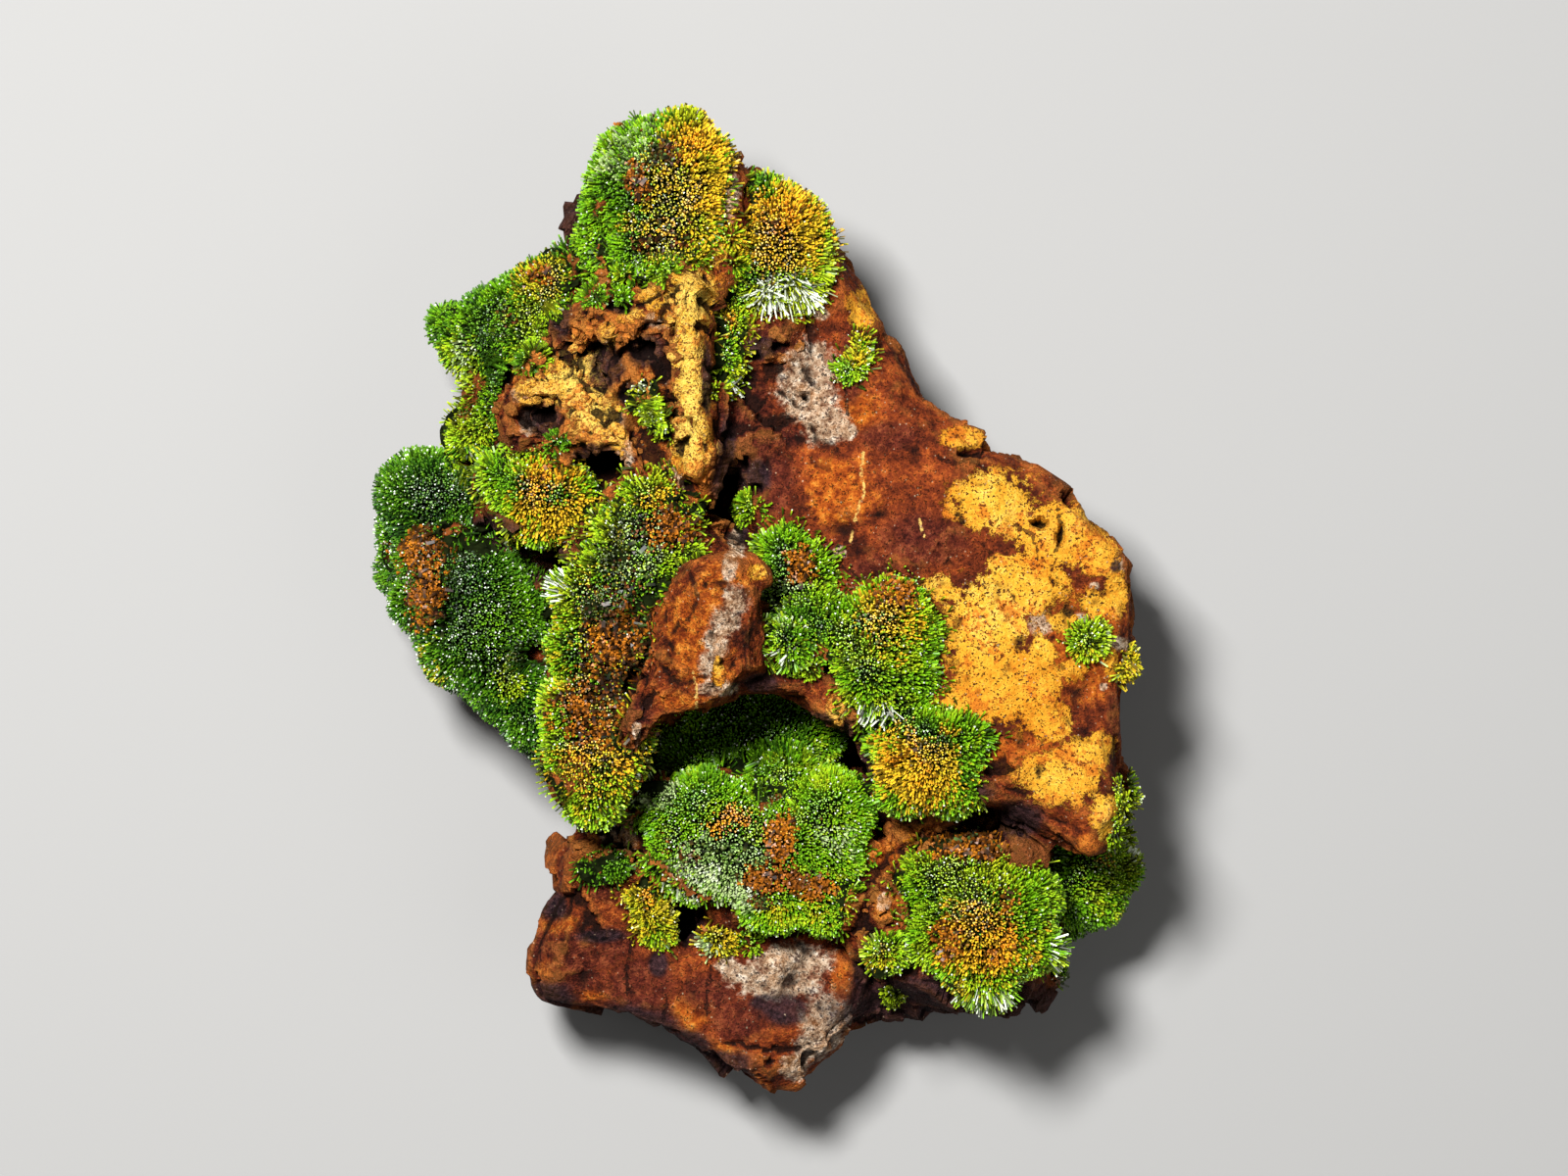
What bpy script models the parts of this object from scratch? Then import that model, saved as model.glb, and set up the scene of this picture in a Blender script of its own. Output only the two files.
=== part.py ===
"""A cabinet specimen of pyromorphite: crusts of needle crystals on a broken piece of
limonite-stained quartz. It lies on its back, with its display face up (+Z) and the
display face's top end towards +Y. The origin is on the resting face, under the middle
of the outline."""

import math

import bmesh
import bpy
from mathutils import Matrix, Vector, noise
from mathutils.bvhtree import BVHTree

MM = 0.001

# The specimen's greatest thickness, from the resting face to the boulder's crest.
THICKNESS = 37.0 * MM

# The broken back narrows from its full width at this height to the resting face.
FULL_WIDTH_HEIGHT = 13.0 * MM
FOOT_SHARE = 0.72

# How finely the rock and the crusts are cut into flat facets.
ROCK_TRIANGLES = 3500
CRUST_TRIANGLES_PER_MM2 = 0.42
LEAST_CRUST_TRIANGLES = 60
ROCK_VOXEL = 0.85 * MM
CRUST_VOXEL = 0.55 * MM

# The clear gap between a crust and what it grew on.
GAP = 0.3 * MM
MOST_SHELL_FACTOR = 2.5

# A small head of crystals stands almost as high as it is wide, and a broad one lower.
LUMP_HEIGHT = 0.82
BROAD_LUMP_HEIGHT = 2.2 * MM
BROAD_LUMP_RISE = 0.35

RUST = (0.34, 0.13, 0.045, 1.0)
GREEN = (0.16, 0.40, 0.05, 1.0)
YELLOW_GREEN = (0.42, 0.46, 0.07, 1.0)


def clear_scene():
    for obj in list(bpy.data.objects):
        bpy.data.objects.remove(obj, do_unlink=True)


def new_collection(name, shown=True):
    collection = bpy.data.collections.new(name)
    collection.hide_render = not shown
    bpy.context.scene.collection.children.link(collection)
    return collection


def new_material(name, colour, roughness):
    material = bpy.data.materials.new(name)
    material.use_nodes = True
    shader = material.node_tree.nodes["Principled BSDF"]
    shader.inputs["Base Color"].default_value = colour
    shader.inputs["Roughness"].default_value = roughness
    shader.inputs["Metallic"].default_value = 0.0
    return material


def evaluated_mesh(obj):
    graph = bpy.context.evaluated_depsgraph_get()
    return bpy.data.meshes.new_from_object(obj.evaluated_get(graph))


def apply_modifiers(obj):
    mesh = evaluated_mesh(obj)
    obj.modifiers.clear()
    obj.data = mesh


def object_from(bm, name, collection):
    mesh = bpy.data.meshes.new(name)
    bm.to_mesh(mesh)
    bm.free()
    obj = bpy.data.objects.new(name, mesh)
    collection.objects.link(obj)
    return obj


def joined(pieces, name, collection):
    """One object that holds the meshes of all the pieces, which are then removed."""
    bm = bmesh.new()
    for piece in pieces:
        bm.from_mesh(piece.data)
        bpy.data.objects.remove(piece)
    return object_from(bm, name, collection)


def fuse(obj, voxel):
    """Turns overlapping closed shapes into one skin."""
    modifier = obj.modifiers.new("fuse", "REMESH")
    modifier.mode = "VOXEL"
    modifier.voxel_size = voxel
    apply_modifiers(obj)


def combine(obj, other, operation):
    modifier = obj.modifiers.new("combine", "BOOLEAN")
    modifier.operation = operation
    modifier.solver = "EXACT"
    modifier.use_self = True
    modifier.object = other
    apply_modifiers(obj)


def reduce_to(obj, triangles):
    """Collapses the mesh to about this many flat triangles."""
    bm = bmesh.new()
    bm.from_mesh(obj.data)
    bmesh.ops.triangulate(bm, faces=bm.faces)
    bm.to_mesh(obj.data)
    bm.free()
    modifier = obj.modifiers.new("reduce", "DECIMATE")
    modifier.ratio = min(1.0, triangles / len(obj.data.polygons))
    apply_modifiers(obj)


def keep_largest_body(obj):
    """Drops the crumbs that a cut leaves beside the main body."""
    bm = bmesh.new()
    bm.from_mesh(obj.data)
    bodies, unseen = [], set(bm.verts)
    while unseen:
        front = [unseen.pop()]
        body = set(front)
        while front:
            vertex = front.pop()
            for edge in vertex.link_edges:
                other = edge.other_vert(vertex)
                if other in unseen:
                    unseen.remove(other)
                    body.add(other)
                    front.append(other)
        bodies.append(body)
    largest = max(bodies, key=len)
    crumbs = [vertex for vertex in bm.verts if vertex not in largest]
    bmesh.ops.delete(bm, geom=crumbs, context="VERTS")
    bm.to_mesh(obj.data)
    bm.free()


# The rock.


def block(outline, low, high, slope=(0.0, 0.0), chamfer=1.2):
    """A mass of rock: an outline in millimetres, raised from low to high with a
    chamfered rim. Its top leans by slope, in millimetres of rise per millimetre."""
    curve = bpy.data.curves.new("outline", "CURVE")
    curve.dimensions = "2D"
    curve.fill_mode = "BOTH"
    curve.offset = -chamfer * MM
    curve.extrude = ((high - low) / 2 - chamfer) * MM
    curve.bevel_depth = chamfer * MM
    curve.bevel_resolution = 0
    spline = curve.splines.new("POLY")
    spline.points.add(len(outline) - 1)
    for point, (x, y) in zip(spline.points, outline):
        point.co = (x * MM, y * MM, 0.0, 1.0)
    spline.use_cyclic_u = True
    holder = bpy.data.objects.new("outline", curve)
    bpy.context.scene.collection.objects.link(holder)
    bpy.context.view_layer.update()
    bm = bmesh.new()
    bm.from_mesh(evaluated_mesh(holder))
    bpy.data.objects.remove(holder)
    bmesh.ops.remove_doubles(bm, verts=bm.verts, dist=0.01 * MM)
    middle_x = sum(x for x, y in outline) / len(outline) * MM
    middle_y = sum(y for x, y in outline) / len(outline) * MM
    for vertex in bm.verts:
        upper = vertex.co.z > 0
        vertex.co.z += (high + low) / 2 * MM
        if upper:
            vertex.co.z += slope[0] * (vertex.co.x - middle_x)
            vertex.co.z += slope[1] * (vertex.co.y - middle_y)
    return object_from(bm, "mass", bpy.context.scene.collection)


def ball(x, y, z, radii, turn=0.0):
    """A closed ellipsoid in millimetres, turned about the vertical by degrees."""
    bm = bmesh.new()
    place = (
        Matrix.Translation(Vector((x, y, z)) * MM)
        @ Matrix.Rotation(math.radians(turn), 4, "Z")
        @ Matrix.Diagonal((*(Vector(radii) * MM), 1.0))
    )
    bmesh.ops.create_icosphere(bm, subdivisions=2, radius=1.0, matrix=place)
    return object_from(bm, "ball", bpy.context.scene.collection)


def back_of_rock():
    """The broken back, which narrows down to the resting face."""
    outline = [
        (-7, 46), (-2, 44.5), (4, 40), (8.5, 35), (12, 29), (13, 24), (16, 19.5),
        (20, 16.5), (26.5, 12.5), (32, 8.5), (37, 3.5), (37.5, -4), (36, -10), (35.5, -17),
        (36, -24), (35.5, -30), (32.5, -33), (29.5, -36), (28.5, -41), (22, -41.5),
        (13, -42), (8, -44.5), (4, -48.5), (-2, -47.5), (-7.5, -43.8), (-12.8, -42),
        (-21, -40), (-20, -35), (-18.5, -30), (-15.5, -24), (-17.5, -18), (-21.5, -14),
        (-25.5, -9), (-30.5, -6.5), (-32.5, -2), (-35.5, 1), (-36.3, 5), (-35, 9.5),
        (-30.5, 13.5), (-27.8, 18), (-28.2, 22), (-30, 26), (-29.8, 28), (-26, 29.5),
        (-21, 33), (-18, 37.5), (-14.8, 42), (-11, 46),
    ]
    return block(outline, -3, 14, chamfer=2.0)


def rock_masses():
    """The masses that stand on the back, named by where they are on the display face."""
    return [
        # The broad red and ochre slab on the right, which overhangs at its lower edge.
        block(
            [
                (-1, 43.5), (3.5, 41), (7.5, 37), (10, 33.5), (12.7, 28.5), (13.2, 25),
                (16, 20.3), (19.5, 18), (26, 13.8), (32, 9.3), (38.3, 4), (39, -4),
                (38.8, -7), (37, -9.5), (37, -14), (36.4, -18), (37, -21.5), (36, -25),
                (34.5, -26.2), (31, -23.5), (28, -21.7), (23, -21), (18, -18), (12, -11),
                (6, -6), (3, -2), (1, 3), (-2, 10), (-3.5, 18), (-4, 27), (-1.5, 35),
            ],
            15, 27, slope=(0.0, -0.12), chamfer=1.6,
        ),
        # The summit and the dark fin behind it.
        block(
            [
                (-15, 37), (-15.2, 43.5), (-12.5, 46.6), (-9, 47.6), (-6, 48.2), (-4.5, 46.3),
                (-1.5, 44.3), (-0.5, 40), (-2, 33), (-6, 31), (-12, 31), (-15, 34),
            ],
            6, 27, slope=(0.05, -0.16),
        ),
        block(
            [(-20.4, 34.5), (-18.7, 39.8), (-16.3, 43), (-13, 42), (-13, 34), (-18, 32.5)],
            4, 15,
        ),
        # The rubbly crown of the ridge, and the ochre wall along its right side.
        block(
            [
                (-25.3, 22), (-21.6, 25.5), (-18.4, 29.4), (-12, 31.4), (-5, 31.4), (-4.6, 25),
                (-4.6, 12), (-8, 9), (-14, 9.5), (-18, 12.4), (-19.6, 14.6), (-25, 15.6),
                (-25.8, 19),
            ],
            10, 29, slope=(0.16, 0.0),
        ),
        block([(-18, 17), (-13, 18), (-9.6, 16), (-10, 10.6), (-15, 10.8)], 20, 31, chamfer=0.8),
        block([(-17.4, 30), (-12, 31.6), (-8, 30.8), (-9, 27.4), (-16, 27)], 22, 32, chamfer=0.8),
        block(
            [
                (-9, 33), (-5.5, 33.4), (-4.4, 30), (-4.9, 22), (-4.4, 14), (-5.6, 11.4),
                (-7.5, 12), (-8, 20), (-9, 27),
            ],
            20, 34.5, chamfer=0.9,
        ),
        # The ledge under the cushion on the ridge's left shoulder.
        block([(-27, 13.5), (-17, 14.5), (-15, 8), (-18.5, 6), (-25, 7.5)], 8, 25),
        # The lower ridge down the left side of the hollow.
        block(
            [
                (-14, 10), (-8, 10), (-3, 7), (0.3, 3), (0.8, -3), (0, -8), (-6, -9.5),
                (-11, -14), (-12.5, -19), (-15.5, -23), (-19.3, -19.5), (-20, -14),
                (-20, -5), (-18.8, 2), (-17, 7),
            ],
            8, 29.5,
        ),
        # The quartz boulder over the hollow, and the lintel that joins it to the slab.
        block(
            [
                (-6.3, 2.6), (-1.5, 3.6), (0.8, 2), (0.9, -7), (-3, -9.6), (-9, -11.6),
                (-12.6, -15.2), (-13, -13.5), (-10.3, -6), (-9.4, -1),
            ],
            23, 35.5, slope=(0.12, -0.10), chamfer=0.9,
        ),
        block(
            [
                (-4, -6), (0, -3), (7, -3), (12, -6), (13, -10), (10.5, -13.8), (7.6, -12.6),
                (5, -10.6), (1, -9.8), (-2, -10),
            ],
            22, 30.5, chamfer=0.9,
        ),
        # The rock under the dome at the slab's lower edge.
        block(
            [(10, -8), (16, -8), (22, -13), (22.8, -19.5), (17.5, -22), (13.3, -20.5), (11, -15)],
            12, 27,
        ),
        # The mound in front of the hollow.
        block(
            [
                (-18, -22.5), (-12, -19), (-8, -18.5), (8, -18.5), (10.6, -21), (11, -27),
                (10, -32.5), (2, -33.5), (-6, -31.5), (-10, -29.5), (-15, -27.5),
            ],
            5, 22,
        ),
        # The plate at the lower end, and the shelf, foot and far rock on its right.
        block(
            [
                (-20.1, -26.5), (-17, -25.2), (-13, -27), (-6, -30), (4, -33), (11, -35.5),
                (12, -38.5), (11.3, -42), (9, -45.2), (6.5, -48), (4.3, -50.2), (-2.5, -48.9),
                (-7.5, -44.9), (-13, -43), (-22.3, -41), (-21.6, -37), (-20.2, -31.5),
            ],
            3, 18.5, slope=(0.0, 0.10), chamfer=1.8,
        ),
        block(
            [
                (8.5, -23.8), (14, -23), (20, -23.2), (24, -23.6), (28, -26), (30, -28.5),
                (30.8, -32), (30.2, -38), (27, -40.3), (20, -40.5), (14, -40), (10, -37),
                (8.8, -30),
            ],
            5, 22, slope=(0.0, -0.06),
        ),
        block(
            [
                (11, -38), (20, -38), (29, -37), (29.2, -42), (28.3, -44.4), (24, -43.6),
                (20, -42.6), (14, -43.4), (10.5, -43.5),
            ],
            2, 11,
        ),
        block(
            [(30, -22), (36, -17.6), (39, -20), (38.3, -24), (39, -29), (36, -33), (32, -34.5), (29, -30)],
            3, 11.5,
        ),
        block([(28.5, -35), (31.5, -36.3), (32, -39.5), (30, -42), (28, -41)], 3, 13, chamfer=0.8),
        # The low left lobe and the arm that rises from it to the left shoulder.
        block(
            [
                (-35.3, 9.5), (-31, 13.5), (-25, 15), (-20, 10), (-18, 2), (-19, -8),
                (-20.5, -14.5), (-24, -12), (-28, -8), (-31.3, -6.6), (-33, -2.5),
                (-36, 0.8), (-36.8, 5),
            ],
            2, 17,
        ),
        block(
            [
                (-31, 26.5), (-30.6, 28.6), (-26, 30), (-21, 33.6), (-15, 36), (-14, 30),
                (-19, 26), (-23, 22), (-25, 17), (-24, 12), (-30, 12.5), (-29.8, 18),
                (-28.4, 22),
            ],
            4, 18.5, slope=(0.28, 0.0),
        ),
    ]


def rock_hollows():
    """What is missing from the masses: the roofed hollow, clefts, vugs and undercuts."""
    return [
        # The hollow that runs in under the boulder and the lintel.
        ball(-0.5, -11.5, 19.5, (10.5, 7.5, 5.6), turn=-6),
        ball(6.5, -13.5, 19.5, (5.5, 5.5, 5.4)),
        # The dark channel between the mound and the rock on its right.
        ball(11.8, -17.5, 15, (2.6, 5.5, 8.5), turn=20),
        ball(13.8, -23.2, 17, (3.2, 2.2, 8.0), turn=-30),
        # The undercut below the slab's lower edge.
        ball(24.5, -20.6, 14.0, (9.5, 4.2, 5.2), turn=-12),
        ball(30.5, -22.0, 13.5, (4.5, 3.6, 2.8), turn=-35),
        # The cleft between the ochre wall and the slab.
        ball(-3.2, 19.5, 26, (1.3, 7.5, 7.0), turn=-2),
        ball(-1.2, 9.5, 25, (1.4, 5.0, 6.5), turn=18),
        # The dark pits under and beside the left cushions.
        ball(-21.6, 3.6, 21, (4.6, 2.9, 8.5), turn=-12),
        ball(-20.2, -4.5, 20, (1.4, 4.2, 6.0), turn=8),
        # The vugs in the rubbly crown.
        ball(-15.6, 24.0, 29, (2.0, 2.8, 6.5), turn=25),
        ball(-10.6, 25.2, 31, (2.6, 1.8, 5.5), turn=-15),
        ball(-20.6, 18.6, 27, (3.0, 1.7, 6.0), turn=10),
        ball(-15.0, 13.2, 28, (3.4, 2.0, 6.5), turn=5),
        ball(-20.4, 24.4, 27, (1.7, 2.6, 5.5), turn=20),
        # The hole under the mound's lower rim, and the seam beside the plate.
        ball(-7.0, -33.2, 18, (2.0, 3.4, 5.5), turn=-10),
        ball(4.0, -35.2, 19.2, (8.5, 1.9, 2.6), turn=-8),
        ball(11.6, -37.6, 16, (1.3, 4.2, 6.0), turn=35),
    ]


def facet_step(point, cell, depth):
    """How far a fracture facet stands in or out at this point. It is the same plane
    all over one cell, and steps from cell to cell."""
    feature = noise.voronoi(point / cell)[1][0]
    lean = Vector([noise.noise(feature * 3.7 + Vector((9, 0, 0)) * i) for i in (1, 2, 3)])
    return depth * (noise.noise(feature * 5.3) + 1.6 * lean.dot(point / cell - feature))


def roughen_rock(obj):
    """Breaks the smooth skin into fracture facets, strongest in the rubbly crown."""
    crown, crown_reach = Vector((-15, 21, 30)) * MM, 15 * MM
    bm = bmesh.new()
    bm.from_mesh(obj.data)
    bm.normal_update()
    moved = {}
    for vertex in bm.verts:
        point = vertex.co.copy()
        nearness = max(0.0, 1 - (point - crown).length / crown_reach)
        step = facet_step(point, 9 * MM, 1.3 * MM)
        step += facet_step(point + Vector((1, 2, 3)), 3.6 * MM, (0.55 + 1.1 * nearness) * MM)
        step += noise.noise(point / (14 * MM)) * 0.8 * MM
        moved[vertex] = point + vertex.normal * step
    for vertex, place in moved.items():
        vertex.co = place
    bm.to_mesh(obj.data)
    bm.free()


def narrow_the_back(obj):
    """Draws the sides in towards the resting face, as on a piece broken from a vein."""
    for vertex in obj.data.vertices:
        height = min(1.0, max(0.0, vertex.co.z / FULL_WIDTH_HEIGHT))
        share = FOOT_SHARE + (1 - FOOT_SHARE) * math.sin(height * math.pi / 2)
        vertex.co.x *= share
        vertex.co.y *= share


def level_the_resting_face(obj):
    """Cuts the rock flat at z = 0, where the broken back rests."""
    bm = bmesh.new()
    bm.from_mesh(obj.data)
    everything = list(bm.verts) + list(bm.edges) + list(bm.faces)
    bmesh.ops.bisect_plane(
        bm, geom=everything, dist=1e-7, plane_co=(0, 0, 0), plane_no=(0, 0, 1), clear_inner=True
    )
    rim = [edge for edge in bm.edges if edge.is_boundary]
    bmesh.ops.triangle_fill(bm, use_beauty=True, use_dissolve=False, edges=rim)
    bmesh.ops.recalc_face_normals(bm, faces=bm.faces)
    bm.to_mesh(obj.data)
    bm.free()


def matrix_rock(collection, material):
    rock = joined([back_of_rock(), *rock_masses()], "matrix", collection)
    fuse(rock, ROCK_VOXEL)
    hollows = joined(rock_hollows(), "rock_hollows", collection)
    fuse(hollows, ROCK_VOXEL)
    combine(rock, hollows, "DIFFERENCE")
    bpy.data.objects.remove(hollows)
    fuse(rock, ROCK_VOXEL)
    narrow_the_back(rock)
    roughen_rock(rock)
    fuse(rock, ROCK_VOXEL)
    keep_largest_body(rock)
    reduce_to(rock, ROCK_TRIANGLES)
    level_the_resting_face(rock)
    keep_largest_body(rock)
    rock.data.materials.clear()
    rock.data.materials.append(material)
    return rock


# The crusts. Each lump is (x, y, radius) in millimetres on the display face, and grows
# on the rock that is uppermost there, or (x, y, radius, z) where an edge roofs it over.

CRUSTS = {
    "summit_crust": [
        (-13.4, 45.4, 2.6), (-10.4, 46.4, 2.9), (-7.0, 47.0, 3.2), (-5.2, 45.0, 3.3),
        (-14.0, 42.6, 3.2), (-10.2, 43.0, 4.2), (-6.2, 42.2, 4.2), (-14.6, 39.6, 3.4),
        (-10.8, 39.0, 4.2), (-6.4, 38.2, 4.0), (-15.2, 36.2, 3.4), (-11.6, 35.2, 3.4),
        (-7.8, 34.8, 3.2),
    ],
    "upper_right_crust": [
        (2.8, 36.6, 5.8), (1.4, 40.4, 3.2), (5.0, 38.8, 3.2), (-0.6, 33.6, 3.6),
        (4.6, 32.6, 3.8), (1.8, 31.4, 3.2), (-2.0, 30.4, 3.0), (-2.6, 27.2, 2.9),
        (-3.0, 24.2, 2.6), (-3.4, 21.6, 2.2),
    ],
    "left_shoulder_crust": [
        (-31.4, 28.0, 2.6), (-29.6, 25.6, 2.9), (-28.2, 28.6, 2.8), (-25.6, 30.0, 3.2),
        (-22.4, 31.8, 3.2), (-19.6, 33.0, 2.8), (-26.4, 26.6, 3.0), (-22.6, 28.4, 3.2), (-20.2, 29.6, 3.0), (-22.8, 25.4, 2.6),
        (-29.4, 22.4, 2.9), (-29.8, 19.4, 2.7), (-26.8, 22.4, 2.8), (-29.0, 16.6, 3.0),
        (-26.2, 18.6, 2.9),
    ],
    "left_cushions": [
        (-33.8, 10.6, 5.2), (-29.4, 10.6, 4.0), (-36.8, 7.0, 3.2), (-37.2, 2.6, 3.2),
        (-33.4, 4.0, 3.8), (-34.4, -0.4, 3.2), (-28.8, 1.0, 6.2), (-24.8, -2.0, 4.6),
        (-29.6, -4.8, 5.2), (-32.0, -7.2, 3.0), (-25.4, -8.4, 4.6), (-22.8, -12.4, 3.4),
        (-21.4, -14.8, 2.4),
    ],
    "mid_left_cushion": [
        (-26.0, 12.4, 2.7), (-22.8, 11.0, 3.9), (-19.2, 10.2, 3.9), (-21.6, 7.8, 3.2),
        (-17.8, 7.8, 2.6),
    ],
    "ridge_crust": [
        (-10.4, 10.2, 3.1), (-13.0, 6.8, 3.4), (-9.0, 6.2, 3.3), (-14.6, 3.0, 3.6),
        (-10.4, 2.2, 3.6), (-17.6, 0.0, 3.2), (-14.4, -2.6, 4.0), (-18.0, -5.2, 3.5),
        (-13.8, -7.8, 4.1), (-17.8, -11.2, 4.2), (-13.6, -12.6, 3.2), (-17.8, -16.0, 3.8),
        (-14.4, -17.0, 3.6), (-16.2, -20.4, 3.4), (-13.0, -20.8, 2.8), (-7.4, 8.6, 2.3),
        (-6.6, 4.2, 2.2), (-11.0, -5.2, 2.8), (-19.6, -1.8, 2.4), (-11.6, -14.6, 2.2),
    ],
    "slab_edge_crust": [
        (3.2, 4.6, 3.3), (6.2, 2.8, 2.8), (2.8, 0.8, 3.6), (5.6, -1.6, 4.2),
        (3.6, -4.6, 3.0), (9.6, -4.0, 4.2), (14.0, -2.0, 4.4), (16.6, -3.6, 3.2),
        (12.2, -7.6, 4.4), (16.0, -8.0, 3.2), (14.2, -11.0, 3.4), (17.7, -16.2, 5.6),
        (14.8, -14.4, 3.4), (21.2, -14.6, 3.2), (15.4, -19.4, 3.2), (20.2, -19.2, 3.3),
    ],
    "hollow_crust": [
        (-4.6, -13.0, 4.0, 14.5), (1.4, -12.6, 4.6, 14.5), (6.0, -14.0, 3.8, 14.5),
        (-1.6, -9.4, 3.2, 15.0), (3.8, -9.4, 3.0, 15.0), (-7.0, -17.2, 3.8, 16.0),
        (-2.4, -17.2, 3.6, 16.5), (3.4, -18.8, 5.0, 18.5), (8.0, -21.6, 4.6),
        (-4.8, -21.6, 4.6), (-8.8, -21.8, 3.4), (-0.6, -22.6, 4.2), (3.0, -25.8, 5.0),
        (7.8, -26.6, 4.0), (-2.6, -27.0, 4.4), (2.2, -30.4, 4.2), (7.0, -31.2, 3.6),
        (-7.8, -25.6, 3.6), (-6.4, -28.8, 2.8),
    ],
    "shelf_dome": [
        (23.4, -33.2, 7.2), (18.6, -28.8, 4.2), (22.4, -28.0, 4.0), (28.4, -30.8, 3.6),
        (18.6, -34.2, 3.6), (28.4, -35.6, 3.4), (23.6, -38.4, 3.6),
    ],
    "far_right_crust": [
        (37.6, -19.6, 2.8), (36.8, -23.0, 3.4), (37.6, -28.2, 3.0), (34.6, -26.6, 4.0),
        (35.0, -31.0, 3.7), (32.0, -31.4, 3.0), (32.8, -33.6, 2.3),
    ],
    "slab_tuft": [(33.9, -4.4, 2.6)],
    "edge_tuft": [(38.0, -6.3, 1.7), (37.2, -7.4, 1.4)],
    "slab_top_sprig": [(10.0, 23.4, 2.2), (11.0, 25.6, 1.6)],
    "ochre_tuft": [(-10.2, 19.8, 2.5), (-9.2, 17.8, 1.6)],
    "lower_left_sprig": [(-15.8, -27.6, 2.1), (-13.8, -27.2, 1.8)],
    "lower_left_tuft": [(-11.0, -30.6, 2.6), (-9.9, -33.6, 2.6)],
    "plate_stub": [(-3.4, -34.8, 2.0)],
    "shelf_tuft": [(13.2, -36.2, 2.6), (15.4, -35.4, 1.7)],
    "side_knob": [(31.3, -38.5, 1.9), (31.0, -37.0, 1.5)],
}
SOFT_RIMS = {"mid_left_cushion": YELLOW_GREEN, "ridge_crust": YELLOW_GREEN}


def surface_under(rock_tree, x, y):
    """The uppermost rock at this place, or the nearest rock where it is past the edge."""
    above = Vector((x * MM, y * MM, 2 * THICKNESS))
    place, normal, _, _ = rock_tree.ray_cast(above, Vector((0, 0, -1)))
    if place is None:
        place, normal, _, _ = rock_tree.find_nearest(Vector((x * MM, y * MM, THICKNESS / 3)))
    return place, normal


def crystal_lump(rock_tree, x, y, radius, z=None):
    """One rounded head of needles, set square to the rock that it grows on."""
    if z is None:
        place, normal = surface_under(rock_tree, x, y)
    else:
        place, normal = Vector((x, y, z)) * MM, Vector((0, 0, 1))
    upward = (normal + Vector((0, 0, 1.2))).normalized()
    wide = radius * MM
    high = min(LUMP_HEIGHT * wide, BROAD_LUMP_HEIGHT + BROAD_LUMP_RISE * wide)
    bm = bmesh.new()
    stand = (
        Matrix.Translation(place)
        @ upward.to_track_quat("Z", "Y").to_matrix().to_4x4()
        @ Matrix.Diagonal((wide, wide, high, 1.0))
    )
    bmesh.ops.create_icosphere(bm, subdivisions=2, radius=1.0, matrix=stand)
    return object_from(bm, "lump", bpy.context.scene.collection)


def ripple(obj, size, depth):
    """Makes the even domes a little uneven, as grown ones are."""
    bm = bmesh.new()
    bm.from_mesh(obj.data)
    bm.normal_update()
    shifts = [vertex.normal * noise.noise(vertex.co / size) * depth for vertex in bm.verts]
    for vertex, shift in zip(bm.verts, shifts):
        vertex.co += shift
    bm.to_mesh(obj.data)
    bm.free()


def grown_copy(obj, by):
    """A cutter: the same solid with every face moved out by this much."""
    bm = bmesh.new()
    bm.from_mesh(obj.data)
    bm.normal_update()
    factors = [min(vertex.calc_shell_factor(), MOST_SHELL_FACTOR) for vertex in bm.verts]
    for vertex, factor in zip(bm.verts, factors):
        vertex.co += vertex.normal * by * factor
    copy = object_from(bm, "cutter", bpy.context.scene.collection)
    copy.hide_render = True
    copy.display_type = "WIRE"
    return copy


def boxes_meet(first, second, reach):
    a = [first.matrix_world @ vertex.co for vertex in first.data.vertices]
    b = [second.matrix_world @ vertex.co for vertex in second.data.vertices]
    for axis in range(3):
        a_low, a_high = min(p[axis] for p in a), max(p[axis] for p in a)
        b_low, b_high = min(p[axis] for p in b), max(p[axis] for p in b)
        if a_low > b_high + reach or b_low > a_high + reach:
            return False
    return True


def surface_area(obj):
    return sum(polygon.area for polygon in obj.data.polygons)


def crust(name, lumps, rock_tree, cutters, collection, material):
    obj = joined([crystal_lump(rock_tree, *lump) for lump in lumps], name, collection)
    fuse(obj, CRUST_VOXEL)
    ripple(obj, 2.2 * MM, 0.35 * MM)
    keep_largest_body(obj)
    wanted = surface_area(obj) / MM**2 * CRUST_TRIANGLES_PER_MM2
    reduce_to(obj, max(wanted, LEAST_CRUST_TRIANGLES))
    for cutter in cutters:
        if boxes_meet(obj, cutter, GAP):
            combine(obj, cutter, "DIFFERENCE")
            keep_largest_body(obj)
    obj.data.materials.clear()
    obj.data.materials.append(material)
    return obj


def main():
    clear_scene()
    specimen = new_collection("pyromorphite_specimen")
    rock_material = new_material("limonite_stained_quartz", RUST, 0.85)
    green = new_material("green_needles", GREEN, 0.4)
    yellow_green = new_material("yellow_green_needles", YELLOW_GREEN, 0.45)
    rock = matrix_rock(specimen, rock_material)
    rock_tree = BVHTree.FromPolygons(
        [vertex.co for vertex in rock.data.vertices],
        [polygon.vertices for polygon in rock.data.polygons],
    )
    cutters = [grown_copy(rock, GAP)]
    for name, lumps in CRUSTS.items():
        material = yellow_green if name in SOFT_RIMS else green
        obj = crust(name, lumps, rock_tree, cutters, specimen, material)
        cutters.append(grown_copy(obj, GAP))
    for cutter in cutters:
        bpy.data.objects.remove(cutter)


main()
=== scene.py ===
"""The looks of a pyromorphite specimen: crusts of green needle crystals, partly coated with
ochre, on a broken piece of rust-stained quartz. It lies on its back, and the camera looks
straight down on its display face."""

import itertools
import math

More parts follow.
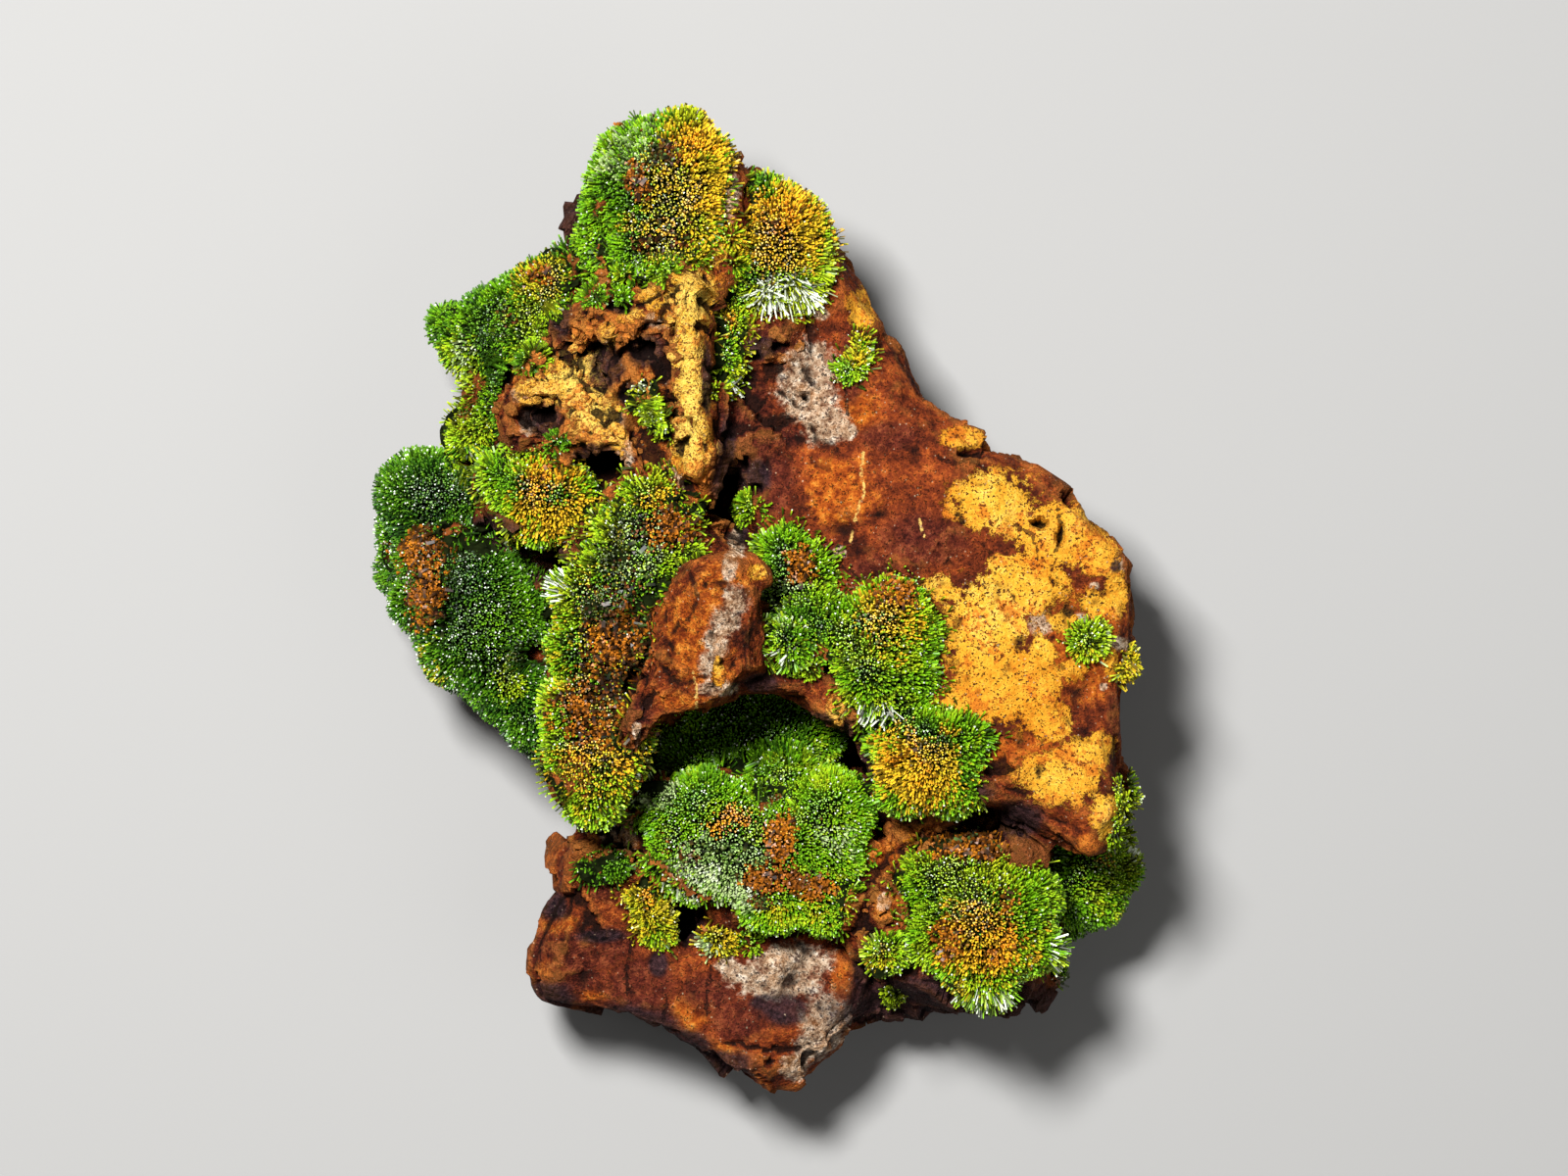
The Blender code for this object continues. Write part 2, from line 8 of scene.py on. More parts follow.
import bpy
import numpy as np
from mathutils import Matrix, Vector, noise
from mathutils.bvhtree import BVHTree
from mathutils.kdtree import KDTree


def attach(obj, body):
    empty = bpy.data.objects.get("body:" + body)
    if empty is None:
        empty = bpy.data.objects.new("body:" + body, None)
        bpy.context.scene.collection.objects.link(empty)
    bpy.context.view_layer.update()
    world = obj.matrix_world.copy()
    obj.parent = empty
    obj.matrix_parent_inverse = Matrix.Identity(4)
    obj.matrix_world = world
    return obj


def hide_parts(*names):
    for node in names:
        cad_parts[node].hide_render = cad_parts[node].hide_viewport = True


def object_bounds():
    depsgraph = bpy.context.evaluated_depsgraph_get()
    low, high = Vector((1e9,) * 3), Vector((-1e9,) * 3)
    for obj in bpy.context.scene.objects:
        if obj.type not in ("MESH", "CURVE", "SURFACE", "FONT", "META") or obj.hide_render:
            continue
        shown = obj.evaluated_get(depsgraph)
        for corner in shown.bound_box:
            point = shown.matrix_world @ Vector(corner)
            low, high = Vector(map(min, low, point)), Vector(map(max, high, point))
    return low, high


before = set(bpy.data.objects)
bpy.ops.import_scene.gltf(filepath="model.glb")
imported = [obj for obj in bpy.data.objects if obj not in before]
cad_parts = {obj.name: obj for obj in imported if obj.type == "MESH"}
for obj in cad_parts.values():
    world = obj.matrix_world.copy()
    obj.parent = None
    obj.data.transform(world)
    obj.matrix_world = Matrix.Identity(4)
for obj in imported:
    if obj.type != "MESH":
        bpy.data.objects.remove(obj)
cad_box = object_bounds()
MM = 0.001


# The rock. It is one broken piece of a quartz vein, soaked through with limonite: rust
# brown on old fracture faces, bright ochre where the limonite is powdery, and beige to grey
# where bare quartz shows. Its vugs and undersides are painted very dark, as shade.


def active_copy(node, name):
    """A copy of a CAD node's mesh with its doubles merged, selected and active."""
    bpy.ops.object.select_all(action="DESELECT")
    piece = bpy.data.objects.new(name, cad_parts[node].data.copy())
    bpy.context.scene.collection.objects.link(piece)
    bpy.context.view_layer.objects.active = piece
    piece.select_set(True)
    bpy.ops.object.mode_set(mode="EDIT")
    bpy.ops.mesh.select_all(action="SELECT")
    bpy.ops.mesh.remove_doubles(threshold=0.001 * MM)
    bpy.ops.object.mode_set(mode="OBJECT")
    piece.data.materials.clear()
    return piece


def apply_new(piece, kind, **settings):
    """Adds a modifier with these settings to the active piece and applies it."""
    modifier = piece.modifiers.new(kind.lower(), kind)
    for setting, value in settings.items():
        setattr(modifier, setting, value)
    bpy.ops.object.modifier_apply(modifier=modifier.name)


def points_of(mesh):
    places = np.empty(len(mesh.vertices) * 3)
    mesh.vertices.foreach_get("co", places)
    return places.reshape(-1, 3)


def normals_of(mesh):
    directions = np.empty(len(mesh.vertices) * 3)
    mesh.vertex_normals.foreach_get("vector", directions)
    return directions.reshape(-1, 3)


def unit(vectors):
    return vectors / np.maximum(np.linalg.norm(vectors, axis=1, keepdims=True), 1e-9)


def neighbour_mean(mesh, values, rounds):
    """Each vertex's value averaged again and again with those next to it."""
    ends = np.empty(len(mesh.edges) * 2, int)
    mesh.edges.foreach_get("vertices", ends)
    ends = np.concatenate([ends.reshape(-1, 2), ends.reshape(-1, 2)[:, ::-1]])
    count = 1 + np.bincount(ends[:, 0], minlength=len(values))[:, None]
    for _ in range(rounds):
        sums = [np.bincount(ends[:, 0], values[ends[:, 1], k], len(values)) for k in range(3)]
        values = (values + np.array(sums).T) / count
    return values


def patch_strength(places, patches):
    """1 in the middle of the nearest patch, 0 at its edge and -1 well outside. A patch is
    (x, y, half width, half height) in millimetres on the display face."""
    strength = np.full(len(places), -1.0)
    for x, y, half_width, half_height in patches:
        across = (places[:, 0] / MM - x) / half_width
        along = (places[:, 1] / MM - y) / half_height
        strength = np.maximum(strength, 1 - np.hypot(across, along))
    return strength


def within(places, patches, sharpness):
    """1 inside the patches and 0 outside, with a soft edge between them."""
    return np.clip(patch_strength(places, patches) * sharpness, 0, 1)


def broken(places, size, seed):
    """How far a broken surface stands out at each place: flat facets about this many
    millimetres wide, each leaning its own way, with small steps where they meet."""
    corner = np.floor(places / (size * MM)).astype(int)
    rows = np.random.default_rng(seed).random((4096, 7))
    nearest, height = np.full(len(places), np.inf), np.zeros(len(places))
    for step in itertools.product((-1, 0, 1), repeat=3):
        home = corner + step
        row = rows[(home @ (73, 179, 283)) % len(rows)]
        away = places - (home + row[:, :3]) * size * MM
        distance = np.linalg.norm(away, axis=1)
        lean = np.sum(away * (row[:, 3:6] - 0.5), axis=1) + (row[:, 6] - 0.5) * 0.22 * size * MM
        height = np.where(distance < nearest, lean, height)
        nearest = np.minimum(nearest, distance)
    return height


def cloudy(places, size):
    """Smooth variation from about -0.5 to 0.5 whose features are this many millimetres across."""
    return np.array([noise.noise(Vector(place) / (size * MM)) for place in places])


VOXEL_SIZE = 0.41 * MM
BACK_DECIMATION = 0.60
rock = active_copy("matrix", "stained_quartz_rock")
apply_new(rock, "REMESH", mode="VOXEL", voxel_size=VOXEL_SIZE)
apply_new(rock, "SMOOTH", factor=0.5, iterations=1)
back = rock.vertex_groups.new(name="back")
back.add(np.flatnonzero(normals_of(rock.data)[:, 2] < -0.1).tolist(), 1.0, "REPLACE")
apply_new(rock, "DECIMATE", ratio=BACK_DECIMATION, vertex_group="back", vertex_group_factor=1.0)

# The crown of the ridge is rubble, the slab's face is nearly flat, and the rest lies between.
RUGGED = [
    (-15, 22, 12, 12), (-12, 33, 6, 4), (-13, -24.5, 5, 5), (-3, 11, 3, 6), (20, -24.5, 9, 2.5),
    (12, -33, 3, 6), (8.5, -11.5, 3, 2), (-22, 8, 4, 6),
]
SMOOTHER = [
    (16, 8, 20, 17), (26, -2, 18, 20), (14, 24, 11, 15), (34, -14, 10, 14), (-3, -40, 20, 8),
    (0, 40, 6, 6),
]
OCHRE_RIDGES = [(-6.4, 23.5, 2.6, 12), (-18, 22, 2.0, 2.6)]
rock_points = points_of(rock.data)

# The boulder above the hollow broke along flat planes, (a place on the plane, its normal).
BOULDER = [(-4.6, -4.6, 7.4, 9.0)]
PLANES = [
    ((-4.8, -4, 36), (-0.36, -0.02, 0.93)), ((-3, -0.4, 36), (0.06, 0.38, 0.92)),
    ((-1.6, -3, 36), (0.26, 0.02, 0.96)), ((-5, -7.6, 36.3), (-0.10, -0.36, 0.93)),
    ((0.2, -3, 34.9), (0.86, 0, 0.5)), ((-8, -1, 34.2), (-0.72, 0.30, 0.62)),
]
planed = within(rock_points, BOULDER, 4) * (rock_points[:, 2] > 31 * MM)
for place, normal in PLANES:
    normal = np.array(normal) / np.linalg.norm(normal)
    beyond = np.clip((rock_points - np.array(place) * MM) @ normal, 0, 1.2 * MM) * planed
    rock_points -= beyond[:, None] * normal

# Facets of four sizes make the broken surface, calm on the slab and wild in the crown.
facing = unit(neighbour_mean(rock.data, normals_of(rock.data), 5))
upward = np.clip(facing[:, 2] * 1.5 + 0.3, 0, 1)
calm = within(rock_points, SMOOTHER, 3) * upward
wild = within(rock_points, RUGGED, 2) * upward
wild *= 1 - 0.75 * within(rock_points, OCHRE_RIDGES, 3)
uneven = np.clip(0.55 + 1.3 * cloudy(rock_points, 9), 0.15, 1)
relief = broken(rock_points, 7.5, seed=3) * (0.62 - 0.56 * calm - 0.1 * wild) * (1 - 0.8 * planed)
relief += broken(rock_points + 0.9 * MM, 3.1, seed=5) * (0.42 * uneven * (1 - calm) + 0.06 + 0.3 * wild)
relief += broken(rock_points, 1.4, seed=8) * (0.34 * uneven * (1 - 0.6 * calm) + 0.08 + 0.3 * wild)
relief += broken(rock_points, 0.85, seed=11) * (0.22 * uneven + 0.4 * wild) * (1 - 0.5 * calm)
crumbled = 0.25 - np.abs(cloudy(rock_points, 1.9)) - 0.6 * np.abs(cloudy(rock_points, 0.95))
relief += crumbled * (0.1 + 0.8 * wild) * (1 - 0.8 * calm) * MM

# The lip over the hollow is thin and keeps its form.
LIP = [(-4, -12, 6, 3), (4, -10.5, 7, 3), (10, -13, 3, 4)]
relief *= 1 - 0.75 * within(rock_points, LIP, 2.5)

# Holes in the crown, and the pitted zone in the cleft beside it.
HOLES = [
    (-19.7, 28.2, 1.5, 3.6), (-14.8, 23.6, 1.9, 2.8), (-10.8, 25, 2.1, 1.8), (-21.3, 18.2, 2.4, 1.9),
    (-12.4, 20.4, 1, 1.6), (-16, 14, 2.9, 1.5), (-9, 22.6, 0.7, 1.6), (-13.2, 29.4, 1.3, 0.9),
    (-16.6, 8.4, 1, 2.2), (-2.4, 11.8, 1.4, 1.6), (-1.2, 13.6, 0.9, 1.1), (0.2, 10.9, 0.8, 0.8),
    (-3.3, 9, 0.8, 1.4), (5.4, 20.6, 0.4, 0.4), (3, 25.6, 0.8, 0.6), (0.4, 24.4, 1, 0.8),
    (-9.8, 27.6, 1.6, 0.6), (-8.3, 26.2, 0.9, 1), (-4.8, 22.8, 0.8, 0.9), (-8, 19.8, 0.9, 1.1),
    (-7.8, 15, 0.8, 1.3), (-4.6, 27, 0.7, 0.7), (-6.6, 11.8, 0.8, 0.6), (-6.8, -33.4, 1.6, 1.8),
    (17, 24.2, 0.5, 1.1), (22.8, 14.8, 2.2, 0.4), (31.2, 6.6, 0.35, 1.6), (29.2, 7.6, 0.9, 0.4),
]
HOLE_DEPTH = 2.4
ragged = patch_strength(rock_points, HOLES) + 0.8 * cloudy(rock_points, 1.5)
depth = np.clip(ragged * 1.8, 0, 1) * np.clip(facing[:, 2] * 2, 0, 1) * HOLE_DEPTH * MM
rock_points = rock_points + facing * (relief - depth * 0.5)[:, None]
rock_points[:, 2] -= depth * 0.5
rock_points[:, 2] = np.clip(rock_points[:, 2], 0, cad_box[1][2] + 0.4 * MM)
rock.data.vertices.foreach_set("co", rock_points.ravel())
rock.data.update()


def pattern_of(made):
    """The corners and faces of a body just made, which is then removed."""
    corners = points_of(made.data)
    faces = np.array([tuple(face.vertices) for face in made.data.polygons])
    bpy.data.objects.remove(made)
    return corners, faces


# Crumbs of limonite cling in the crown and along the broken edges: angular bits of a
# millimetre or so, one pattern squashed and turned, and half sunk in the rock.
bpy.ops.mesh.primitive_ico_sphere_add(subdivisions=1, radius=1)
CRUMB, CRUMB_FACES = pattern_of(bpy.context.object)
CRUMB_COUNT = 760
CRUMBLY = [
    (-3, 12, 3, 4), (9, -13, 3, 4), (20, -25, 8, 2.6), (-9, -26, 7, 4), (-20, 6, 3, 3), (1, 26, 5, 2),
    (13, -30, 3, 5),
]
likely = np.maximum(wild, 0.7 * within(rock_points, CRUMBLY, 3)) * (normals_of(rock.data)[:, 2] > 0.15)
likely *= np.clip(1 - 4 * ragged, 0, 1)
crumb_dice = np.random.default_rng(41)
homes = crumb_dice.choice(len(likely), CRUMB_COUNT, replace=False, p=likely / likely.sum())
axes = np.linalg.qr(crumb_dice.normal(0, 1, (CRUMB_COUNT, 3, 3)))[0]
radii = crumb_dice.uniform(0.20, 0.62, (CRUMB_COUNT, 1, 1))
spans = radii * crumb_dice.uniform(0.4, 1.5, (CRUMB_COUNT, 1, 3)) * MM
bits = CRUMB[None] * (1 + crumb_dice.normal(0, 0.16, (CRUMB_COUNT, len(CRUMB), 1))) * spans
bits = bits @ axes + rock_points[homes][:, None]
bits[:, :, 2] = np.maximum(bits[:, :, 2], 0)
crumb_mesh = bpy.data.meshes.new("crumbs")
first = np.arange(CRUMB_COUNT)[:, None, None] * len(CRUMB)
crumb_faces = (CRUMB_FACES[None] + first).reshape(-1, 3)
crumb_mesh.from_pydata(bits.reshape(-1, 3).tolist(), [], crumb_faces.tolist())
crumbs = bpy.data.objects.new("crumbs", crumb_mesh)
bpy.context.scene.collection.objects.link(crumbs)
crumbs.select_set(True)
rock.select_set(True)
bpy.context.view_layer.objects.active = rock
bpy.ops.object.join()
wild = np.concatenate([wild, np.full(CRUMB_COUNT * len(CRUMB), 0.6)])
crumb_tones = np.repeat(crumb_dice.random(CRUMB_COUNT), len(CRUMB))
own_tone = np.concatenate([np.full(len(rock_points), 0.5), crumb_tones])
rock_points = points_of(rock.data)
bpy.ops.object.shade_smooth_by_angle(angle=math.radians(28))

# Where the stains lie, each list named for what shows there: powdery ochre, orange limonite,
# bare quartz, the darker maroon of old fracture faces, and the painted shade of vugs, clefts
# and overhangs.
OCHRE = [
    (24.5, 9.9, 4.6, 3.2), (31, 6.4, 5, 3.4), (23.5, -3.6, 4.6, 5.6), (27.4, 1.4, 4.8, 3.2),
    (31.6, -2.4, 1.6, 1.2), (34.6, -0.6, 1.7, 1.5), (32.6, -7.4, 1.7, 1.3), (36.4, -6.6, 0.8, 1.6),
    (29.6, -12.4, 3.2, 2.2), (29.4, -5.4, 1.6, 1.8), (35.6, -5.4, 1.2, 1), (31, 2.2, 1.2, 0.8),
    (29.2, -8.8, 2.2, 2.4), (25.4, -8.6, 5, 4.8), (34.8, -15.4, 2.2, 1.8), (31, -18.2, 4.6, 2.8),
    (37, 0.6, 1.4, 2.6), (20.8, -12, 2.8, 3.4), (35.8, -22, 1.6, 2.8), (34, -15.6, 2.6, 2),
    (35, 4.6, 2.4, 2.4), (21.6, 16.2, 2.9, 1.2), (11.3, 29.6, 1.6, 2.4), (19, 1, 1.8, 1.4),
    (8.6, -11.6, 1.1, 1.8), (-6.4, 30.2, 3.1, 3.4), (-6.6, 24.8, 1.8, 2.6), (-6, 20.6, 1.9, 2.4),
    (-6.2, 16, 2.2, 3.6), (-3.6, 35.4, 1.2, 1.8), (-17.8, 22.4, 2.8, 3.2), (-16, 18.4, 2.6, 3),
    (-21.4, 21, 2.6, 1.8), (-13.6, 16.2, 1, 1.6), (-10.4, 30.4, 1.2, 1.4), (-14.6, 26.4, 1, 1.4),
    (-9.4, 19, 1, 1.6), (-12, 28.6, 1.2, 0.8), (-3.4, -7.4, 0.6, 1.6), (0.6, 2.6, 1, 0.8),
]
ORANGE = [
    (8.8, 10.4, 4.6, 4.4), (-5.4, -4, 5.2, 7.4), (-2.8, 1.8, 4, 2.2), (-6.4, -10.6, 3.4, 1.8),
    (10.8, 18.8, 2.6, 2.4), (26, -16, 2.4, 3.2), (25, -11.4, 1.8, 1.2), (9, -39.8, 1.5, 4),
    (13, -26.4, 2.2, 2.6), (13.6, -31.6, 2, 2.4), (-15.5, 21.5, 9, 10), (-13, 27.4, 2.6, 3.4),
    (-18.6, 26, 2.4, 1.6), (-24, 22.8, 1.8, 2.2), (-20.6, 34.4, 2.4, 2), (-12.4, 31, 2.4, 1.6),
    (-2.6, 41.6, 1.1, 3.4), (-10, 16, 1.8, 3.6), (-5.2, 12, 1.4, 3), (34, -25, 2, 2.2), (20, -24, 7, 1.6),
    (-20, 13.5, 1.6, 1.6), (-9, 4.4, 2.4, 2), (5.6, 29, 2, 1.2), (33, -4.6, 6.4, 8), (28.4, -14.6, 3.6, 2),
    (-20.8, -38.2, 2, 1.6), (-16.6, -40.8, 2, 0.9), (-6.4, -42.8, 2.4, 2.8), (-3, -46.6, 2, 1.4),
    (-19.6, -33.6, 2.4, 1.2),
]
QUARTZ = [
    (5.6, 21.6, 3.2, 4.8), (7.4, 17.6, 3, 2.2), (9.5, 17, 1.3, 1.2), (7, 28.8, 0.9, 0.7),
    (6.8, 25.4, 0.8, 1), (-1.6, -0.2, 1.5, 1.8), (-2.5, -2.4, 1.6, 1.9), (-3.5, -4.6, 1.5, 1.9),
    (-4.4, -6.6, 1.3, 1.5), (-3.4, -9.2, 2.6, 0.9), (4, -37.4, 4.8, 2.2), (2.6, -39.6, 5, 1.8),
    (7.6, -43.6, 3, 3.4), (4.2, -48.2, 1.6, 1.6), (-13.8, 17.8, 1.3, 2), (-13, 14.6, 1.1, 1.8),
    (-2.4, 41, 1.2, 2.8), (37, 3.1, 1, 1.2), (29.2, -2.6, 1.6, 1.5), (33.4, -2.2, 1.6, 0.9),
    (34.8, 1.2, 0.7, 0.5), (37.2, -4.6, 1.4, 0.9), (35.6, -9, 0.5, 0.5), (20.6, -11.6, 1.2, 0.8),
    (-13.6, -23.8, 2.2, 2.4), (-6, -27.4, 2.6, 2.2), (-7.6, 13.4, 0.9, 1.3), (-7, 12.2, 0.7, 1.4),
    (-1.6, 5.6, 1, 2.2), (-2.2, 3.4, 0.9, 1.6), (-2.6, -37.6, 1.4, 0.9), (32, -39, 0.9, 2),
    (-11.6, -13.6, 0.5, 1.6), (-23.5, 20.6, 1.2, 0.9), (-9.5, 28, 1.6, 1), (13.4, -31, 0.8, 1.2),
    (-18.2, 3.2, 0.4, 1.2), (15.6, -4.4, 0.6, 0.5), (8.8, 4.6, 0.9, 0.8), (-1, -38.6, 2.6, 1.2),
    (6.4, -46, 2.2, 2), (-22.8, 17.6, 0.9, 1.4),
]
MAROON = [
    (17.5, 6, 5.5, 3.4), (-0.4, 17, 3.6, 8), (2, 12, 3, 4.6), (1.5, 26, 4, 2.6), (12.4, 2.4, 3.4, 2.6),
    (13.5, -20.5, 3.4, 3), (-16.5, -36, 6, 2.8), (36.6, -13, 0.9, 5), (-12, -12, 2.6, 2.6),
    (-9.6, -14.4, 1.8, 1.6), (23, -23, 6, 2.2), (27, -26.4, 4.4, 3.2), (22, -25.4, 6, 2.4),
    (10, 23.6, 1.4, 5), (-15, -28.6, 2.4, 3), (14, 16.4, 4, 1.8), (-24.6, 15, 2, 3),
    (-11.6, -39.6, 4.6, 3.8), (-1.4, -43.4, 3.4, 2.8), (-18.4, -38.4, 4, 3), (-4.6, -40.6, 3.6, 2.6),
    (-23, -36, 2.4, 2.6), (-8.6, 28.4, 1.8, 1.6), (3.6, 16.4, 2.4, 1.6), (6, 4.8, 3, 1.4),
]
# Painted shade: very dark in vugs, clefts and under overhangs, where the shadows fall.
PAINTED_SHADE_PATCHES = [
    (3.2, -42.2, 3.2, 2), (1, -41.4, 1.6, 1), (20, -41.8, 15, 4.4), (30, -42.6, 4.6, 3.4),
    (16, -42.6, 8, 2.6), (-18.8, 39.4, 2.2, 4.4), (-21.5, 4, 4, 3.4), (-26.4, 6.6, 4, 2.4),
    (13, -15, 3.2, 5), (20, -19.5, 5.4, 2.4), (27, -22.6, 3, 2.6), (-14.8, 23.6, 2.2, 3),
    (-10.8, 25, 2.4, 2), (-15.8, 14.2, 3, 1.6), (-12.4, 20.4, 1.2, 1.8), (-9, 22.6, 0.9, 1.8),
    (-13.2, 29.4, 1.5, 1), (-6.8, -33.4, 2.4, 2.6), (11.4, -38.2, 1.4, 3.6), (-2.4, 11.4, 2.2, 3.2),
    (0.6, 12.6, 1.6, 2), (0.8, 25.4, 2.2, 1.4), (-21.2, 18, 2.4, 2), (-19.6, 28.4, 1.5, 3.6),
    (-1, 7.4, 0.8, 2.6), (-16.4, 8.4, 1.2, 2.4), (36.9, 3.2, 0.7, 0.8), (-21.4, -41.2, 4.4, 2.2),
    (-13, -43.8, 7, 2.6), (-4, -48.2, 5, 2.4), (-6.8, -46, 2.8, 2.2), (-20.6, -31.6, 2, 2),
    (6.6, -12.4, 2.2, 1), (0.8, -8.6, 2.4, 1.2), (-2.6, 15.6, 1.2, 3.6), (-15.4, -34.6, 3.4, 0.9),
    (-9.6, -37.4, 1.2, 1.6), (9.4, -14.6, 1.6, 3), (-4.6, 22, 0.6, 4),
]

# Thin veins and cracks, each a run of points in millimetres.
VEINS = [
    [(11.3, 14.8), (11, 12.6), (11.4, 10.8), (10.8, 9.2), (10.4, 7.8)], [(10.2, 6.8), (9.9, 5.6)],
    [(16.9, 8), (17.4, 6.2)], [(-5.9, -7.4), (-5.6, -9.2), (-5.6, -11.4)],
]
CRACKS = [
    [(18.6, 14.4), (20.2, 13.6), (22.4, 14), (23.8, 13)], [(31, 9), (31.4, 6.8), (30.8, 4.6)],
    [(8.6, 24.4), (9.4, 21.6), (9.6, 18.8)], [(-4.3, -37.8), (-4.8, -41.6), (-4.5, -43)],
    [(-12.4, -35), (-13, -38.4), (-12.6, -41)], [(0.2, -2.4), (-0.6, -5), (-0.5, -7.6)],
    [(-6.4, 3), (-5.4, 0), (-6.6, -2.6)], [(6.8, 2.8), (8.8, 3.4), (11, 1.8)],
    [(26.6, 7.4), (28.4, 6.4), (29, 4)], [(23.4, -33.2), (25.6, -35.8)],
    [(13.4, 27), (15, 24), (17, 21.4)], [(-8.6, -40.4), (-9.2, -43.4)],
]


def nearness(places, runs, reach):
    """1 on a line, 0 this many millimetres from it, and below 0 farther out."""
    nearest = np.full(len(places), np.inf)
    for run in runs:
        for start, end in zip(run, run[1:]):
            start, along = np.array(start) * MM, (np.array(end) - np.array(start)) * MM
            share = np.clip((places[:, :2] - start) @ along / (along @ along), 0, 1)
            away = places[:, :2] - start - share[:, None] * along
            nearest = np.minimum(nearest, np.linalg.norm(away, axis=1))
    return np.clip(1 - nearest / (reach * MM), -1, 1)


rock_normals = normals_of(rock.data)
hollowness = np.sum((neighbour_mean(rock.data, rock_points, 12) - rock_points) * rock_normals, axis=1)
on_display = np.clip((rock_normals[:, 2] + 0.2) * 5, 0, 1)
stains = {"hollowness": np.clip(hollowness / (0.35 * MM), -1, 1)}
for name, patches in (("ochre", OCHRE), ("orange", ORANGE), ("quartz", QUARTZ)):
    stains[name] = (patch_strength(rock_points, patches) + 1) * on_display - 1
stains["maroon"] = patch_strength(rock_points, MAROON)
# Faces that look downwards are painted very dark too, as shade.
stains["black"] = np.maximum(patch_strength(rock_points, PAINTED_SHADE_PATCHES), -0.35 - 1.6 * rock_normals[:, 2])
stains["rubble"] = wild
stains["own_tone"] = own_tone
stains["ridge"] = within(rock_points, OCHRE_RIDGES, 3)
stains["calm"] = np.concatenate([calm, np.zeros(len(wild) - len(calm))])
for name, runs in (("vein", VEINS), ("crack", CRACKS)):
    stains[name] = (nearness(rock_points, runs, 0.9) + 1) * on_display - 1
for name, values in stains.items():
    attribute = rock.data.attributes.new(name, "FLOAT", "POINT")
    attribute.data.foreach_set("value", values.astype(np.float32))


class Amount:
    """A number that a finish works out at every point of a surface."""

    def __init__(self, finish, socket):
        self.finish = finish
        self.socket = socket

    def worked(self, operation, *terms):
        node = self.finish.node("ShaderNodeMath", {"operation": operation}, dict(enumerate(terms)))
        return Amount(self.finish, node.outputs[0])

    def __add__(self, other):
        return self.worked("ADD", self, other)

    __radd__ = __add__

    def __sub__(self, other):
        return self.worked("SUBTRACT", self, other)

    def __rsub__(self, other):
        return self.worked("SUBTRACT", other, self)

    def __mul__(self, other):
        return self.worked("MULTIPLY", self, other)

    __rmul__ = __mul__

    def step(self, low, high):
        """0 below low, 1 above high, and a soft rise between them."""
        ends = {"Value": self, "From Min": low, "From Max": high}
        node = self.finish.node("ShaderNodeMapRange", {"interpolation_type": "SMOOTHSTEP"}, ends)
        return Amount(self.finish, node.outputs[0])


class Finish:
    """A surface finish and the nodes that it is mixed from."""

    def __init__(self, name, roughness, ior=1.45, specular=0.5):
        self.material = bpy.data.materials.new(name)
        self.material.use_nodes = True
        self.nodes = self.material.node_tree.nodes
        self.feed("Roughness", roughness)
        self.feed("IOR", ior)
        self.feed("Specular IOR Level", specular)

    def set(self, socket, value):
        source = value.socket if isinstance(value, Amount) else value
        if isinstance(source, bpy.types.NodeSocket):
            self.material.node_tree.links.new(source, socket)
        else:
            socket.default_value = source

    def feed(self, name, value):
        self.set(self.nodes["Principled BSDF"].inputs[name], value)

    def node(self, kind, settings=None, inputs=None):
        node = self.nodes.new(kind)
        for name, value in (settings or {}).items():
            if name == "stops":
                while len(node.color_ramp.elements) < len(value):
                    node.color_ramp.elements.new(1.0)
                for element, (position, colour) in zip(node.color_ramp.elements, value):
                    element.position = position
                    element.color = (*colour, 1.0)
            else:
                setattr(node, name, value)
        for name, value in (inputs or {}).items():
            self.set(node.inputs[name], value)
        return node

    def noise(self, size, detail=4.0, roughness=0.55):
        """Cloudy variation whose features are about this many millimetres across."""
        place = self.node("ShaderNodeTexCoord").outputs["Object"]
        numbers = {"Scale": 1 / (size * MM), "Detail": detail, "Roughness": roughness}
        node = self.node("ShaderNodeTexNoise", inputs={"Vector": place, **numbers})
        return Amount(self, node.outputs["Fac"])

    def cells(self, size):
        """Grains of this many millimetres: how far each point is from the middle of its
        grain, about 0 to 1, and a number that each grain has of its own."""
        place = self.node("ShaderNodeTexCoord").outputs["Object"]
        numbers = {"Scale": 1 / (size * MM), "Randomness": 1.0}
        node = self.node("ShaderNodeTexVoronoi", inputs={"Vector": place, **numbers})
        own = self.node("ShaderNodeSeparateColor", inputs={"Color": node.outputs["Color"]})
        return Amount(self, node.outputs["Distance"]), Amount(self, own.outputs["Red"])

    def attribute(self, name):
        return Amount(self, self.node("ShaderNodeAttribute", {"attribute_name": name}).outputs["Fac"])

    def ramp(self, amount, *stops):
        node = self.node("ShaderNodeValToRGB", {"stops": stops}, {"Fac": amount})
        return node.outputs["Color"]

    def mix(self, share, under, over, blend_type="MIX"):
        """One colour over another. The node's sockets for colours are 6, 7 and the output 2."""
        node = self.node("ShaderNodeMix", {"data_type": "RGBA", "blend_type": blend_type})
        self.set(node.inputs[0], share)
        for index, colour in ((6, under), (7, over)):
            plain = not isinstance(colour, bpy.types.NodeSocket)
            self.set(node.inputs[index], (*colour, 1.0) if plain else colour)
        return node.outputs[2]


stone = Finish("stained_quartz", roughness=0.85, specular=0.1)
broad, mottle, blotch = stone.noise(11), stone.noise(3.0, 5), stone.noise(1.1, 4, 0.6)
grain, dust = stone.noise(0.42, 3, 0.65), stone.noise(0.2, 2, 0.6)
crumb_rise, crumb_tone = stone.cells(0.62)
speck_rise, speck_tone = stone.cells(0.3)
sunk = stone.attribute("hollowness")
calm_face = stone.attribute("calm")
own = stone.attribute("own_tone")
gritty = (grain * 0.6 + crumb_tone * 0.12 + speck_tone * 0.12 - 0.42) * (1 - calm_face * 0.25) + 0.5

